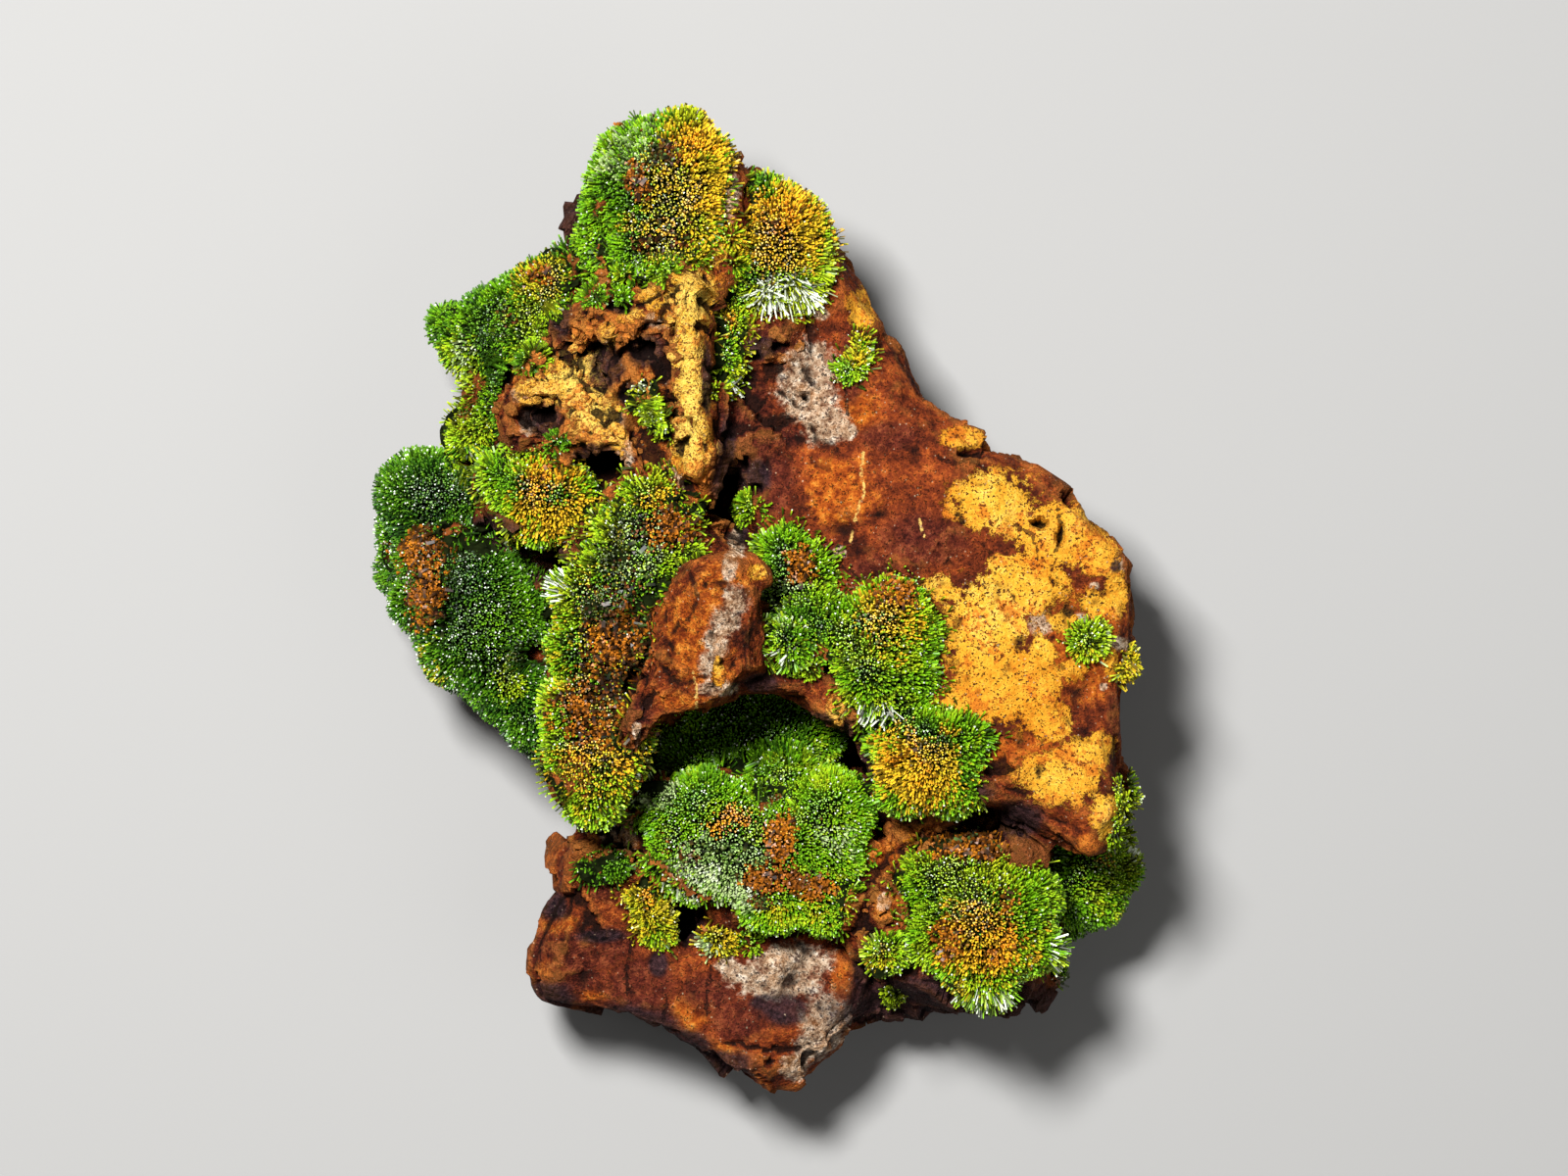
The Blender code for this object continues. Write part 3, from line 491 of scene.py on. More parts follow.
# Rust brown, mottled, with brighter orange and darker purple-brown areas.
rust = stone.ramp(
    mottle * 0.36 + blotch * 0.12 + gritty * 0.52 + own * 0.12 - 0.06,
    (0.38, (0.014, 0.003, 0.002)), (0.45, (0.070, 0.012, 0.004)), (0.51, (0.175, 0.030, 0.007)),
    (0.57, (0.34, 0.073, 0.012)), (0.66, (0.58, 0.21, 0.045)),
)
orange_share = (stone.attribute("orange") + mottle * 1.2 + blotch * 0.8 - 1.05).step(0.0, 0.5)
rust = stone.mix(orange_share * 0.85, rust, stone.ramp(
    blotch * 0.45 + gritty * 0.55,
    (0.40, (0.11, 0.015, 0.002)), (0.49, (0.33, 0.066, 0.006)), (0.56, (0.53, 0.155, 0.014)),
    (0.64, (0.72, 0.32, 0.048)),
))
maroon_share = (stone.attribute("maroon") + mottle + blotch * 0.6 - 0.72).step(0.0, 0.6)
rust = stone.mix(maroon_share * 0.8, rust, stone.ramp(
    gritty * 0.6 + blotch * 0.4,
    (0.41, (0.011, 0.002, 0.002)), (0.5, (0.070, 0.011, 0.007)), (0.6, (0.19, 0.045, 0.020)),
))

# Bare quartz is beige to grey, and dark specks dot it.
quartz_share = (stone.attribute("quartz") + mottle * 1.1 + blotch + grain * 0.5 - 1.25).step(0.0, 0.42)
quartz = stone.ramp(
    blotch * 0.45 + gritty * 0.55,
    (0.40, (0.085, 0.036, 0.018)), (0.46, (0.29, 0.175, 0.10)), (0.53, (0.54, 0.40, 0.27)),
    (0.62, (0.80, 0.71, 0.58)),
)
quartz = stone.mix((blotch * 0.6 + speck_tone * 0.4).step(0.62, 0.70) * 0.85, quartz, (0.035, 0.012, 0.010))

# The ochre is a powdery coat, golden where it is thick and pitted all over.
rubble = stone.attribute("rubble")
ochre_place = stone.attribute("ochre")
ochre_share = ochre_place + mottle * 1.4 + blotch * 1.2 + grain + dust * 0.4 + own * 1.1 - 2.48
ochre_share = ochre_share.step(0.0, 0.14)
# Its tone is raised in the crown, as painted light that makes up for the shade of the rough relief there,
# and along the ochre ridges.
ochre = stone.ramp(
    broad * 0.35 + mottle * 0.2 + gritty * 0.45 + ochre_place.step(0.1, 0.9) * 0.03
    + (rubble + stone.attribute("ridge")) * 0.09,
    (0.40, (0.32, 0.085, 0.004)), (0.46, (0.56, 0.225, 0.013)), (0.53, (0.68, 0.345, 0.028)),
    (0.62, (0.84, 0.56, 0.10)),
)
fleck = (grain * 0.5 + dust * 0.5 + mottle * 0.35 + speck_tone * 0.1).step(0.755, 0.83)
ochre = stone.mix(fleck * 0.85, ochre, (0.16, 0.036, 0.004))
rusty_share = (mottle * 0.8 + blotch * 0.6 + grain * 0.5).step(0.97, 1.08)
ochre = stone.mix(rusty_share * 0.8, ochre, (0.46, 0.115, 0.008))

colour = stone.mix(quartz_share * 0.93, rust, quartz)
colour = stone.mix(ochre_share, colour, ochre)
pepper = (dust * 0.5 + grain * 0.5 + speck_tone * 0.06 + rubble * 0.025).step(0.59, 0.65)
colour = stone.mix(pepper * 0.8, colour, (0.014, 0.004, 0.003))
# The painted shade is laid on as a very dark colour.
painted_shade_share = (stone.attribute("black") + mottle * 0.9 + blotch * 0.5 - 0.62).step(0.0, 0.5)
black = stone.ramp(gritty, (0.42, (0.004, 0.003, 0.004)), (0.60, (0.040, 0.022, 0.028)))
colour = stone.mix(painted_shade_share * 0.9, colour, black)
vein_share = (stone.attribute("vein") + grain * 0.6 - 0.3).step(0.78, 0.88)
colour = stone.mix(vein_share * 0.8, colour, (0.72, 0.46, 0.12))
crack_share = (stone.attribute("crack") + grain * 1.1 + blotch * 0.4 - 0.75).step(0.76, 0.88)
colour = stone.mix(crack_share * 0.8, colour, (0.012, 0.005, 0.004))
# Painted highlights: sparse pale specks that stand for light flashing off tiny crystals.
painted_glint = (speck_tone + dust * 0.3 - speck_rise * 0.3).step(1.03, 1.09)
colour = stone.mix(painted_glint * 0.42, colour, (0.80, 0.62, 0.40))

# Hollows are painted very dark, as shade, and raised edges a little lighter: rubbed wear, and
# in the crown also a painted highlight.
painted_hollow_shade = (sunk + blotch * 0.6 + rubble * 0.27 - 0.35).step(0.02, 0.55)
colour = stone.mix(painted_hollow_shade * 0.92, colour, (0.008, 0.003, 0.002))
wear_and_highlight_share = (sunk * -1 + grain * 0.6 - 0.34).step(0.1, 0.8)
wear_and_highlight_share = wear_and_highlight_share * (0.12 + rubble * 0.25) * (1 - painted_shade_share * 0.8)
colour = stone.mix(wear_and_highlight_share, colour, (0.88, 0.34, 0.06))
stone.feed("Base Color", colour)
stone.feed("Roughness", 0.88 - quartz_share * 0.4)
rise = blotch * 0.8 + grain * 0.55 + dust * 0.3 + crumb_tone * 0.20 - crumb_rise * 0.22 - speck_rise * 0.12
rise = rise * (1 - calm_face * 0.55) + ochre_share * 0.14 - crack_share * 0.3 - pepper * 0.3
bump = stone.node("ShaderNodeBump", inputs={"Distance": 0.85 * MM, "Height": rise, "Strength": 1.0})
stone.feed("Normal", bump.outputs["Normal"])
rock.data.materials.append(stone.material)
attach(rock, "root")
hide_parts("matrix")


# The crust on the summit. Here and in every other crust, the crystals are slim needles
# that grew outwards from the rock in sheaves, so that only their ends show from above.
# They are green, and yellow, ochre or rusty where limonite has coated them.

# A needle's colour is a place on one chart: across it go the tints, and up it goes the
# height on the needle, from a root painted dark as shade to a tip painted bright as a highlight.
EMERALD, GREEN, VIVID, LIME, OLIVE = 0.05, 0.14, 0.23, 0.34, 0.46
GOLD, OCHRE_TINT, RUSTY, BROWN = 0.56, 0.64, 0.74, 0.84
FROSTED, PALE, WHITE = 0.91, 0.96, 0.995
FULL_COLOUR_HEIGHT = 0.84

# Needles with a coat lie between the first two of these tints, and crumbly ones between the
# last two. Those below the first are bare and green.
COAT_FROM, COAT_TO, CRUMBLY_FROM, CRUMBLY_TO = 0.5, 0.68, 0.69, 0.88
needles = Finish("pyromorphite_needles", roughness=0.42, ior=1.55, specular=0.3)
chart = needles.node("ShaderNodeUVMap", {"uv_map": "OFBake"}).outputs["UV"]
chart = needles.node("ShaderNodeSeparateXYZ", inputs={"Vector": chart})
height = Amount(needles, chart.outputs["Y"])
tint = needles.ramp(
    Amount(needles, chart.outputs["X"]),
    (0.0, (0.022, 0.095, 0.006)), (EMERALD, (0.042, 0.17, 0.007)), (GREEN, (0.10, 0.28, 0.006)),
    (VIVID, (0.18, 0.47, 0.005)), (LIME, (0.43, 0.62, 0.012)), (OLIVE, (0.60, 0.52, 0.014)),
    (GOLD, (0.94, 0.55, 0.022)), (OCHRE_TINT, (0.92, 0.35, 0.012)), (RUSTY, (0.50, 0.155, 0.008)),
    (BROWN, (0.15, 0.04, 0.008)), (0.87, (0.10, 0.20, 0.03)), (FROSTED, (0.32, 0.50, 0.12)),
    (PALE, (0.62, 0.74, 0.34)), (1.0, (0.95, 1.0, 0.85)),
)
# Painted shade and highlight: the colour is darkened lower on the needle, as the shade between needles, and
# above full colour height it is painted paler, and white at the very top.
painted_shade_by_height = needles.ramp(
    height, (0.0, (0.02, 0.02, 0.02)), (0.38, (0.07, 0.07, 0.07)), (0.62, (0.30, 0.30, 0.30)),
    (FULL_COLOUR_HEIGHT, (1.0, 1.0, 1.0)),
)
tint = needles.mix(1.0, tint, painted_shade_by_height, "MULTIPLY")
tint = needles.mix(height.step(FULL_COLOUR_HEIGHT, 0.94) * 0.18, tint, (0.62, 0.95, 0.07))
tint = needles.mix(height.step(0.95, 0.98) * 0.9, tint, (0.95, 1.0, 0.88))
needles.feed("Base Color", tint)

# The mat of needle roots: a core painted very dark, as the shade between the needles.
root_core_shade = Finish("root_core_painted_shade", roughness=0.95, specular=0.05)
painted_core_murk = root_core_shade.ramp(root_core_shade.noise(0.8), (0.35, (0.003, 0.005, 0.001)), (0.65, (0.010, 0.015, 0.003)))
root_core_shade.feed("Base Color", painted_core_murk)

# One needle, a millimetre wide and long, with its tip at the origin.
bpy.ops.mesh.primitive_cone_add(vertices=3, radius1=0.5, radius2=0.55, depth=1, location=(0, 0, -0.5))
bpy.ops.object.transform_apply(location=True)
bpy.ops.object.mode_set(mode="EDIT")
bpy.ops.mesh.select_all(action="SELECT")
bpy.ops.mesh.quads_convert_to_tris()
bpy.ops.object.mode_set(mode="OBJECT")
NEEDLE, NEEDLE_FACES = pattern_of(bpy.context.object)

# A sheaf of needles is so many millimetres wide, its needles fan out from a root so deep,
# and this is how far they lean towards the fan.
SHEAF_SIZE, SHEAF_DEPTH, FAN = 2.2, 3.0, 0.45

stone_tree = BVHTree.FromPolygons(rock_points.tolist(), [face.vertices for face in rock.data.polygons])


def on_rock(places):
    """The nearest place on the rock to each place, and how far off it is."""
    found = [stone_tree.find_nearest(Vector(place)) for place in places]
    return np.array([tuple(spot[0]) for spot in found]), np.array([spot[3] for spot in found])


def thinned(places, spacing):
    """The indices of places that are left when each little cube of space keeps one."""
    cubes = np.floor(places / spacing).astype(int)
    return np.unique(cubes, axis=0, return_index=True)[1]


def nearest_of(places, heads):
    """For each place, which of the heads is nearest, and how far off it is."""
    tree = KDTree(len(heads))
    for index, head in enumerate(heads):
        tree.insert(head, index)
    tree.balance()
    found = [tree.find(place) for place in places]
    return np.array([spot[1] for spot in found]), np.array([spot[2] for spot in found])


def spots_on(mesh, directions, spacing, dice):
    """Places spread evenly over a mesh, and the direction in which a needle there grows."""
    mesh.calc_loop_triangles()
    corners = np.empty(len(mesh.loop_triangles) * 3, int)
    mesh.loop_triangles.foreach_get("vertices", corners)
    corners = corners.reshape(-1, 3)
    a, b, c = np.moveaxis(points_of(mesh)[corners], 1, 0)
    areas = np.linalg.norm(np.cross(b - a, c - a), axis=1) / 2
    count = int(areas.sum() / spacing**2 * 5)
    chosen = dice.choice(len(areas), count, p=areas / areas.sum())
    shares = dice.random((count, 2))
    shares[shares.sum(1) > 1] = 1 - shares[shares.sum(1) > 1]
    first, second = shares[:, :1], shares[:, 1:]
    places = a[chosen] * (1 - first - second) + b[chosen] * first + c[chosen] * second
    growth = directions[corners[chosen]].mean(1)
    kept = thinned(places, spacing)
    return places[kept], unit(growth[kept])


def needle_tints(places, dice, sheaf, hue, patches):
    """A tint for each needle. Patches, (x, y, half width, half height, tint, share), run into
    the rest sheaf by sheaf and needle by needle."""
    tints = np.full(len(places), hue)
    for x, y, half_width, half_height, tint, share in patches:
        chance = dice.random(sheaf.max() + 1)[sheaf] * 0.45 + dice.random(len(places)) * 0.55
        reach = np.hypot((places[:, 0] / MM - x) / half_width, (places[:, 1] / MM - y) / half_height)
        tints = np.where(chance < np.clip((1.45 - reach) / 0.9, 0, 1) * share, tint, tints)
    green = tints < 0.55
    spread = np.where(green, 0.03, 0.02)
    tints = tints + dice.normal(0, 1, len(places)) * spread
    tints = tints + dice.normal(0, 1, sheaf.max() + 1)[sheaf] * spread
    return np.clip(tints, 0.0, np.where(green, 0.60, 1))


def rim_needles(core_points, reach, dice):
    """Roots of stray needles on the rock just outside a crust, fewer the farther out."""
    low, high = core_points.min(0) - reach, core_points.max(0) + reach
    inside = np.all((rock_points > low) & (rock_points < high), axis=1) & (rock_normals[:, 2] > -0.4)
    roots, upward = rock_points[inside], rock_normals[inside]
    which, away = nearest_of(roots, core_points)
    outward = unit(roots - core_points[which])
    kept = dice.random(len(roots)) < np.clip(1.05 - away / reach, 0, 1) ** 1.5
    return roots[kept], unit(upward[kept] + 0.6 * outward[kept])


def grow(
    node, name, hue, patches, length=2.6, width=0.175, spacing=0.285, sparkle=0.025,
    fringe=(), creases=(), tufts=(), rim=1.5, dim=0.44, evenness=1.0, bare=0.25,
):
    """Replaces a crust's solid by needles whose tips make its form, on a shrunken core. In a
    fringe, (x, y, half width, half height), they are longer and lean outwards, creases are
    furrows between domes, where the tips are painted darker as shade, and tufts, (x, y,
    radius), stand on the rock beside the crust. Dim is how much darker than others a tip may
    be painted, as shade, an even crust has a smooth surface, and bare is the share of white
    needles in a fringe."""
    core = active_copy(node, name)
    apply_new(core, "SUBSURF", levels=2, render_levels=2)
    dice = np.random.default_rng(len(name) * 7919 + ord(name[0]))
    growth = unit(neighbour_mean(core.data, normals_of(core.data), 8))
    full_form = points_of(core.data)
    tips, directions = spots_on(core.data, growth, spacing * MM, dice)
    nearest, gaps = on_rock(tips)
    downward = unit(nearest - tips)
    buried = (np.sum(downward * directions, axis=1) > 0.55) & (gaps < 1.2 * MM)
    shown = (gaps > 0.25 * MM) & ~buried
    tips, directions, gaps = tips[shown], directions[shown], gaps[shown]

    # The needles gather in sheaves, each of which fans out from a root of its own.
    heads = thinned(tips, SHEAF_SIZE * MM)
    sheaf = nearest_of(tips, tips[heads])[0]
    roots = (tips[heads] - directions[heads] * SHEAF_DEPTH * MM)[sheaf]
    directions = unit(directions * (1 - FAN) + unit(tips - roots) * FAN)
    directions = unit(directions + dice.normal(0, 0.11, directions.shape))

    # Some sheaves and needles stand a little proud of the others, most of all on the flanks.
    flank = np.clip(1 - directions[:, 2], 0, 1)
    proud = dice.normal(0, 0.16, len(heads))[sheaf] + dice.normal(0, 0.12, len(tips))
    proud = np.clip(proud, -0.5, 0.3) / evenness + flank * dice.uniform(0, 0.55, len(tips))
    furrow = np.clip(nearness(tips, creases, 2.4), 0, 1) if creases else np.zeros(len(tips))
    proud -= 1.5 * furrow**1.5
    fringed = np.zeros(len(tips), bool)
    if fringe:
        fringed = dice.random(len(tips)) < np.clip(patch_strength(tips, fringe) * 2.2, 0, 0.75)
        outward = directions * (1.0, 1.0, 0.35)
        outward = unit(outward + dice.normal(0, 0.08, outward.shape))
        directions = np.where(fringed[:, None], outward, directions)
    proud = np.where(fringed, dice.uniform(0.1, 1.5, len(tips)), proud)
    tips = tips + directions * (proud * MM)[:, None]
    lengths = np.minimum(length * MM * dice.uniform(0.75, 1.2, len(tips)), gaps + 0.8 * MM)
    lengths = np.where(fringed, length * MM, lengths)
    widths = width * MM * dice.uniform(0.7, 1.35, len(tips))
    tints = needle_tints(tips, dice, sheaf, hue, patches)
    tints = np.where(fringed & (dice.random(len(tips)) < bare), WHITE, tints)
    widths = np.where(fringed, widths * 0.8, widths)

    # Rusty needles are short, thick and crumbly.
    crumbly = (tints > CRUMBLY_FROM) & (tints < CRUMBLY_TO)
    widths = np.where(crumbly, widths * 1.9, np.where(tints > COAT_FROM, widths * 1.15, widths))
    lengths = np.where(crumbly, np.minimum(lengths, 0.9 * MM), lengths)
    askew = unit(directions + dice.normal(0, 0.5, directions.shape))
    directions = np.where(crumbly[:, None], askew, directions)

    # A few short needles stray onto the rock around the crust, and small tufts stand on it.
    strays, leanings = rim_needles(full_form, rim * MM, dice)
    stray_lengths = dice.uniform(0.4, 1.2, len(strays))
    for x, y, radius in tufts:
        across = (rock_points[:, 0] / MM - x) / radius
        along = (rock_points[:, 1] / MM - y) / radius
        chosen = np.flatnonzero((np.hypot(across, along) < 1) & (rock_normals[:, 2] > 0.1))
        chosen = dice.choice(chosen, len(chosen) * 3)
        outward = np.stack([across[chosen], along[chosen], np.zeros(len(chosen))], axis=1)
        strays = np.concatenate([strays, rock_points[chosen] + dice.normal(0, 0.12 * MM, outward.shape)])
        leanings = np.concatenate([leanings, unit(rock_normals[chosen] + 1.3 * outward + (0, 0, 0.5))])
        heights = (1.9 - np.hypot(outward[:, 0], outward[:, 1])) * dice.uniform(0.7, 1.1, len(chosen))
        stray_lengths = np.concatenate([stray_lengths, heights * min(1.0, radius * 0.7)])
    leanings = unit(leanings + dice.normal(0, 0.2, leanings.shape))
    stray_tints = needle_tints(strays, dice, nearest_of(strays, tips[heads])[0], hue + 0.04, patches)
    tips = np.concatenate([tips, strays + leanings * stray_lengths[:, None] * MM])
    directions = np.concatenate([directions, leanings])
    lengths = np.concatenate([lengths, stray_lengths * MM + 0.4 * MM])
    widths = np.concatenate([widths, width * MM * dice.uniform(0.7, 1.3, len(strays))])
    tints = np.concatenate([tints, stray_tints])
    tips[:, 2] = np.maximum(tips[:, 2], 0.2 * MM)
    flank = np.where(fringed & (tints[: len(flank)] > 0.98), 1.2, flank)
    flank = np.concatenate([flank, np.full(len(strays), 0.5)])
    furrow = np.concatenate([furrow, np.zeros(len(strays))])

    # Most tips are painted dull, as shade, and duller in creases, some are painted lit, and a few
    # are painted white, as highlights.
    dull = FULL_COLOUR_HEIGHT - dim * dice.random(len(tips)) - 0.15 * furrow
    lit = FULL_COLOUR_HEIGHT + 0.09 * dice.random(len(tips))
    tip_heights = np.where(dice.random(len(tips)) < 0.50 - 0.3 * furrow, lit, dull)
    unlit = np.minimum(tip_heights, FULL_COLOUR_HEIGHT - 0.1 * dice.random(len(tips)))
    tip_heights = np.where(tints > CRUMBLY_FROM, unlit, tip_heights)
    tip_heights = np.where((tints > CRUMBLY_TO) & (dice.random(len(tips)) < 0.5), lit, tip_heights)
    tip_heights = np.where((dice.random(len(tips)) < sparkle) & (tints < COAT_FROM), 1.0, tip_heights)
    # The roots are painted in shade, less so on the flanks and on the white needles of a fringe.
    root_heights = np.clip(flank * 0.55, 0, 0.62)

    # The core draws back from the tips and is pressed down into the rock.
    apply_new(core, "DECIMATE", ratio=0.3)
    core_points = points_of(core.data)
    growth = unit(neighbour_mean(core.data, normals_of(core.data), 3))
    nearest, gaps = on_rock(core_points)
    toward = unit(nearest - core_points)
    into = 1.9 * np.clip(nearness(core_points, creases, 2.8), 0, 1) if creases else np.zeros(len(gaps))
    inset = np.minimum(1.3 * MM, 0.4 * MM + gaps * 0.45) + np.minimum(into * MM, gaps * 0.5)
    drawn = core_points - growth * inset[:, None]
    pressed = nearest + toward * 0.6 * MM - growth * 0.5 * MM
    core_points = np.where((gaps < 0.75 * MM)[:, None], pressed, drawn)
    core_points[:, 2] = np.maximum(core_points[:, 2], 0.3 * MM)
    core_faces = [tuple(face.vertices) for face in core.data.polygons]

    side = unit(np.cross(directions, dice.normal(0, 1, directions.shape)))
    other = np.cross(directions, side)
    shape = NEEDLE[None, :, :, None]
    bodies = (
        tips[:, None]
        + side[:, None] * shape[:, :, 0] * widths[:, None, None]
        + other[:, None] * shape[:, :, 1] * widths[:, None, None]
        + directions[:, None] * shape[:, :, 2] * lengths[:, None, None]
    )
    first = len(core_points) + np.arange(len(tips))[:, None, None] * len(NEEDLE)
    needle_faces = (NEEDLE_FACES[None] + first).reshape(-1, 3)
    mesh = bpy.data.meshes.new(name)
    everything = np.concatenate([core_points, bodies.reshape(-1, 3)])
    mesh.from_pydata(everything.tolist(), [], core_faces + needle_faces.tolist())

    # Every corner's place on the colour chart. A coat colours only the end of a needle.
    shares = np.clip(1 + NEEDLE[:, 2], 0, 1)
    coated = (tints > COAT_FROM) & (tints < COAT_TO)
    root_tints = np.where(coated, np.minimum(tints, OLIVE - 0.04), tints)
    across = root_tints[:, None] + (tints - root_tints)[:, None] * shares
    across = np.concatenate([np.full(len(core_points), EMERALD), across.ravel()])
    up = root_heights[:, None] + (tip_heights - root_heights)[:, None] * shares
    up = np.concatenate([np.zeros(len(core_points)), up.ravel()])
    corner_vertex = np.empty(len(mesh.loops), int)
    mesh.loops.foreach_get("vertex_index", corner_vertex)
    layer = mesh.uv_layers.new(name="OFBake")
    layer.data.foreach_set("uv", np.stack([across, up], 1)[corner_vertex].ravel())
    mesh.materials.append(needles.material)
    mesh.materials.append(root_core_shade.material)
    of_core = np.arange(len(mesh.polygons)) < len(core_faces)
    mesh.polygons.foreach_set("material_index", of_core.astype(int))
    core.data = mesh
    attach(core, "root")
    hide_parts(node)


grow(
    "summit_crust", "summit_needles", VIVID,
    [
        (-13, 44.5, 3.4, 4.6, FROSTED, 0.55), (-14.4, 40, 2.4, 3, GREEN, 0.6),
        (-5.6, 43.6, 4, 7, GOLD, 0.95), (-8.6, 42.4, 2.6, 4.6, OLIVE, 0.7),
        (-6.4, 45.6, 2.4, 2.6, OCHRE_TINT, 0.4), (-8.8, 45, 1.4, 1.4, BROWN, 0.8),
        (-11.4, 42, 1.4, 2.2, RUSTY, 0.7), (-8.4, 36.8, 4.6, 3.6, OLIVE, 0.8),
        (-9, 36.4, 3.4, 2.4, BROWN, 0.35), (-7.4, 37, 3.4, 2.4, GOLD, 0.35),
        (-14.3, 49, 1.4, 1, RUSTY, 0.8), (-6.6, 49.4, 2.4, 1.2, OLIVE, 0.8),
        (-16, 37.4, 2.2, 2.2, VIVID, 0.8),
    ],
    tufts=[(-12.9, 32.9, 1.2), (-16.2, 30.7, 1.2), (-13.1, 30.5, 0.9), (-9, 33.4, 1.4), (-5.6, 34.6, 1.2)],
)


# The dome on the slab's upper end, and the strip that runs down from it in the cleft. The
# dome is coated yellow on top, and its rim is a fringe of long, bare, white-tipped needles.
grow(
    "upper_right_crust", "upper_right_needles", LIME,
    [
        (3.2, 37.8, 4.8, 4.8, GOLD, 0.97), (2.8, 39, 3, 3, OCHRE_TINT, 0.6),
        (0.6, 42.4, 2.2, 1.6, GREEN, 0.7), (-2.9, 27.6, 1.1, 3.6, OLIVE, 0.6),
        (-3.2, 29, 0.9, 4, RUSTY, 0.3), (-2.5, 27.8, 0.8, 1, OCHRE_TINT, 0.7),
        (-2.4, 24.4, 1.2, 3, VIVID, 0.7), (-0.8, 31.8, 1.4, 2.6, VIVID, 0.6),
    ],
    length=3.4, bare=0.5, fringe=[(3.4, 30.6, 4.6, 2.4), (-2.4, 20.9, 1.8, 1.2)],
    tufts=[(-0.9, 30.4, 1.2), (-3.4, 20.9, 0.9), (-2, 36.6, 1.1), (-1.4, 34, 1.2)],
)


# The crust on the left shoulder: a green outer knob, a lime band along the outer edge below
# it, and longer, paler needles inwards.
grow(
    "left_shoulder_crust", "left_shoulder_needles", GREEN,
    [
        (-21.5, 27.4, 3.6, 4.6, LIME, 0.9), (-21, 32.6, 3.4, 2.6, OLIVE, 0.7),
        (-30.2, 20.5, 3, 6.4, LIME, 0.95), (-26.6, 15.6, 3, 2.6, LIME, 0.6),
        (-29.4, 24.6, 1.6, 2, PALE, 0.5), (-22, 33.4, 2.4, 1.4, RUSTY, 0.4),
        (-25, 29, 1.6, 1.4, BROWN, 0.4), (-31.5, 29, 2.4, 1.6, VIVID, 0.6),
    ],
    length=3, tufts=[(-22.9, 26.6, 1.6), (-22.4, 24.4, 1.4), (-19.8, 15.8, 1), (-20.4, 30.4, 1.3)],
)


# The big cushions on the left. They are the deepest green, dotted with tips painted white
# as highlights, and a rusty stripe crosses the outer one.
grow(
    "left_cushions", "left_cushion_needles", 0.09,
    [
        (-25.5, -2, 4.6, 5, 0.16, 0.6), (-27.8, 14.2, 3, 1.8, LIME, 0.7),
        (-24.8, -8.4, 2.2, 2.6, LIME, 0.6), (-33.4, -8, 1.8, 3.6, OLIVE, 0.35),
        (-38, 3.5, 1.6, 3, VIVID, 0.35), (-33.8, 5, 3, 2.3, RUSTY, 0.85), (-33.4, 0, 2, 3.8, RUSTY, 0.85),
        (-34, 1, 2.4, 6, BROWN, 0.3),
    ],
    sparkle=0.08, width=0.165, spacing=0.265, dim=0.34, evenness=1.6,
    creases=[
        [(-35.2, 7.6), (-31, 6.4), (-27.6, 5.6), (-25, 7.2)], [(-30.8, 1.4), (-31.2, -1.4), (-32, -4.6)],
        [(-30.4, -7.8), (-27, -7), (-22.6, -6)], [(-29.4, 13), (-26.6, 10.8)],
    ],
)
grow(
    "mid_left_cushion", "mid_left_needles", 0.30,
    [
        (-20.2, 9.8, 4.6, 4.2, GOLD, 0.9), (-20.8, 11.4, 3.4, 2.6, OCHRE_TINT, 0.5),
        (-19.6, 10.2, 1.4, 1.6, VIVID, 0.6), (-25.4, 12.2, 2.4, 2.4, VIVID, 0.6),
    ],
    length=3,
)


# The crust on the lower ridge, where green needles and rusty, blunt ones mix.
grow(
    "ridge_crust", "ridge_needles", 0.29,
    [
        (-14.6, -9, 6, 14, OLIVE, 0.6), (-12.8, -7.4, 3.4, 11, BROWN, 0.55),
        (-10.8, -5.6, 1.4, 7, BROWN, 0.6), (-10.2, 12, 2.2, 1.6, LIME, 0.8),
        (-9.6, 10, 2.6, 1.4, GOLD, 0.7), (-8.4, 7, 3, 2.4, RUSTY, 0.7),
        (-11.6, 5.6, 2.4, 3.4, FROSTED, 0.6), (-12.4, 0.6, 5, 2.4, GREEN, 0.6),
        (-18.9, 1, 1.4, 2.6, LIME, 0.8), (-12.8, -2.6, 3.2, 2.4, BROWN, 0.5),
        (-13.8, -5.4, 4, 4.4, RUSTY, 0.55), (-18.6, -4, 1.8, 3.6, VIVID, 0.7),
        (-16.4, -12.4, 4, 3.8, RUSTY, 0.6), (-16.4, -11, 3, 3, OCHRE_TINT, 0.3),
        (-15.6, -17, 4.8, 3, GOLD, 0.7), (-14, -18.4, 4, 1.8, LIME, 0.5),
        (-12.4, -13.6, 1.2, 2.4, BROWN, 0.5),
    ],
    dim=0.6, bare=0.35, fringe=[(-19.6, 1.2, 0.8, 2.2)],
    tufts=[(-8.8, 16.6, 0.9), (-0.4, 9.2, 1.2)],
    creases=[
        [(-13.6, 8), (-14.4, 3.4)], [(-9, 0.2), (-12.6, -1.8), (-16, -1.4)], [(-11.4, -8), (-15, -8.6)],
    ],
)


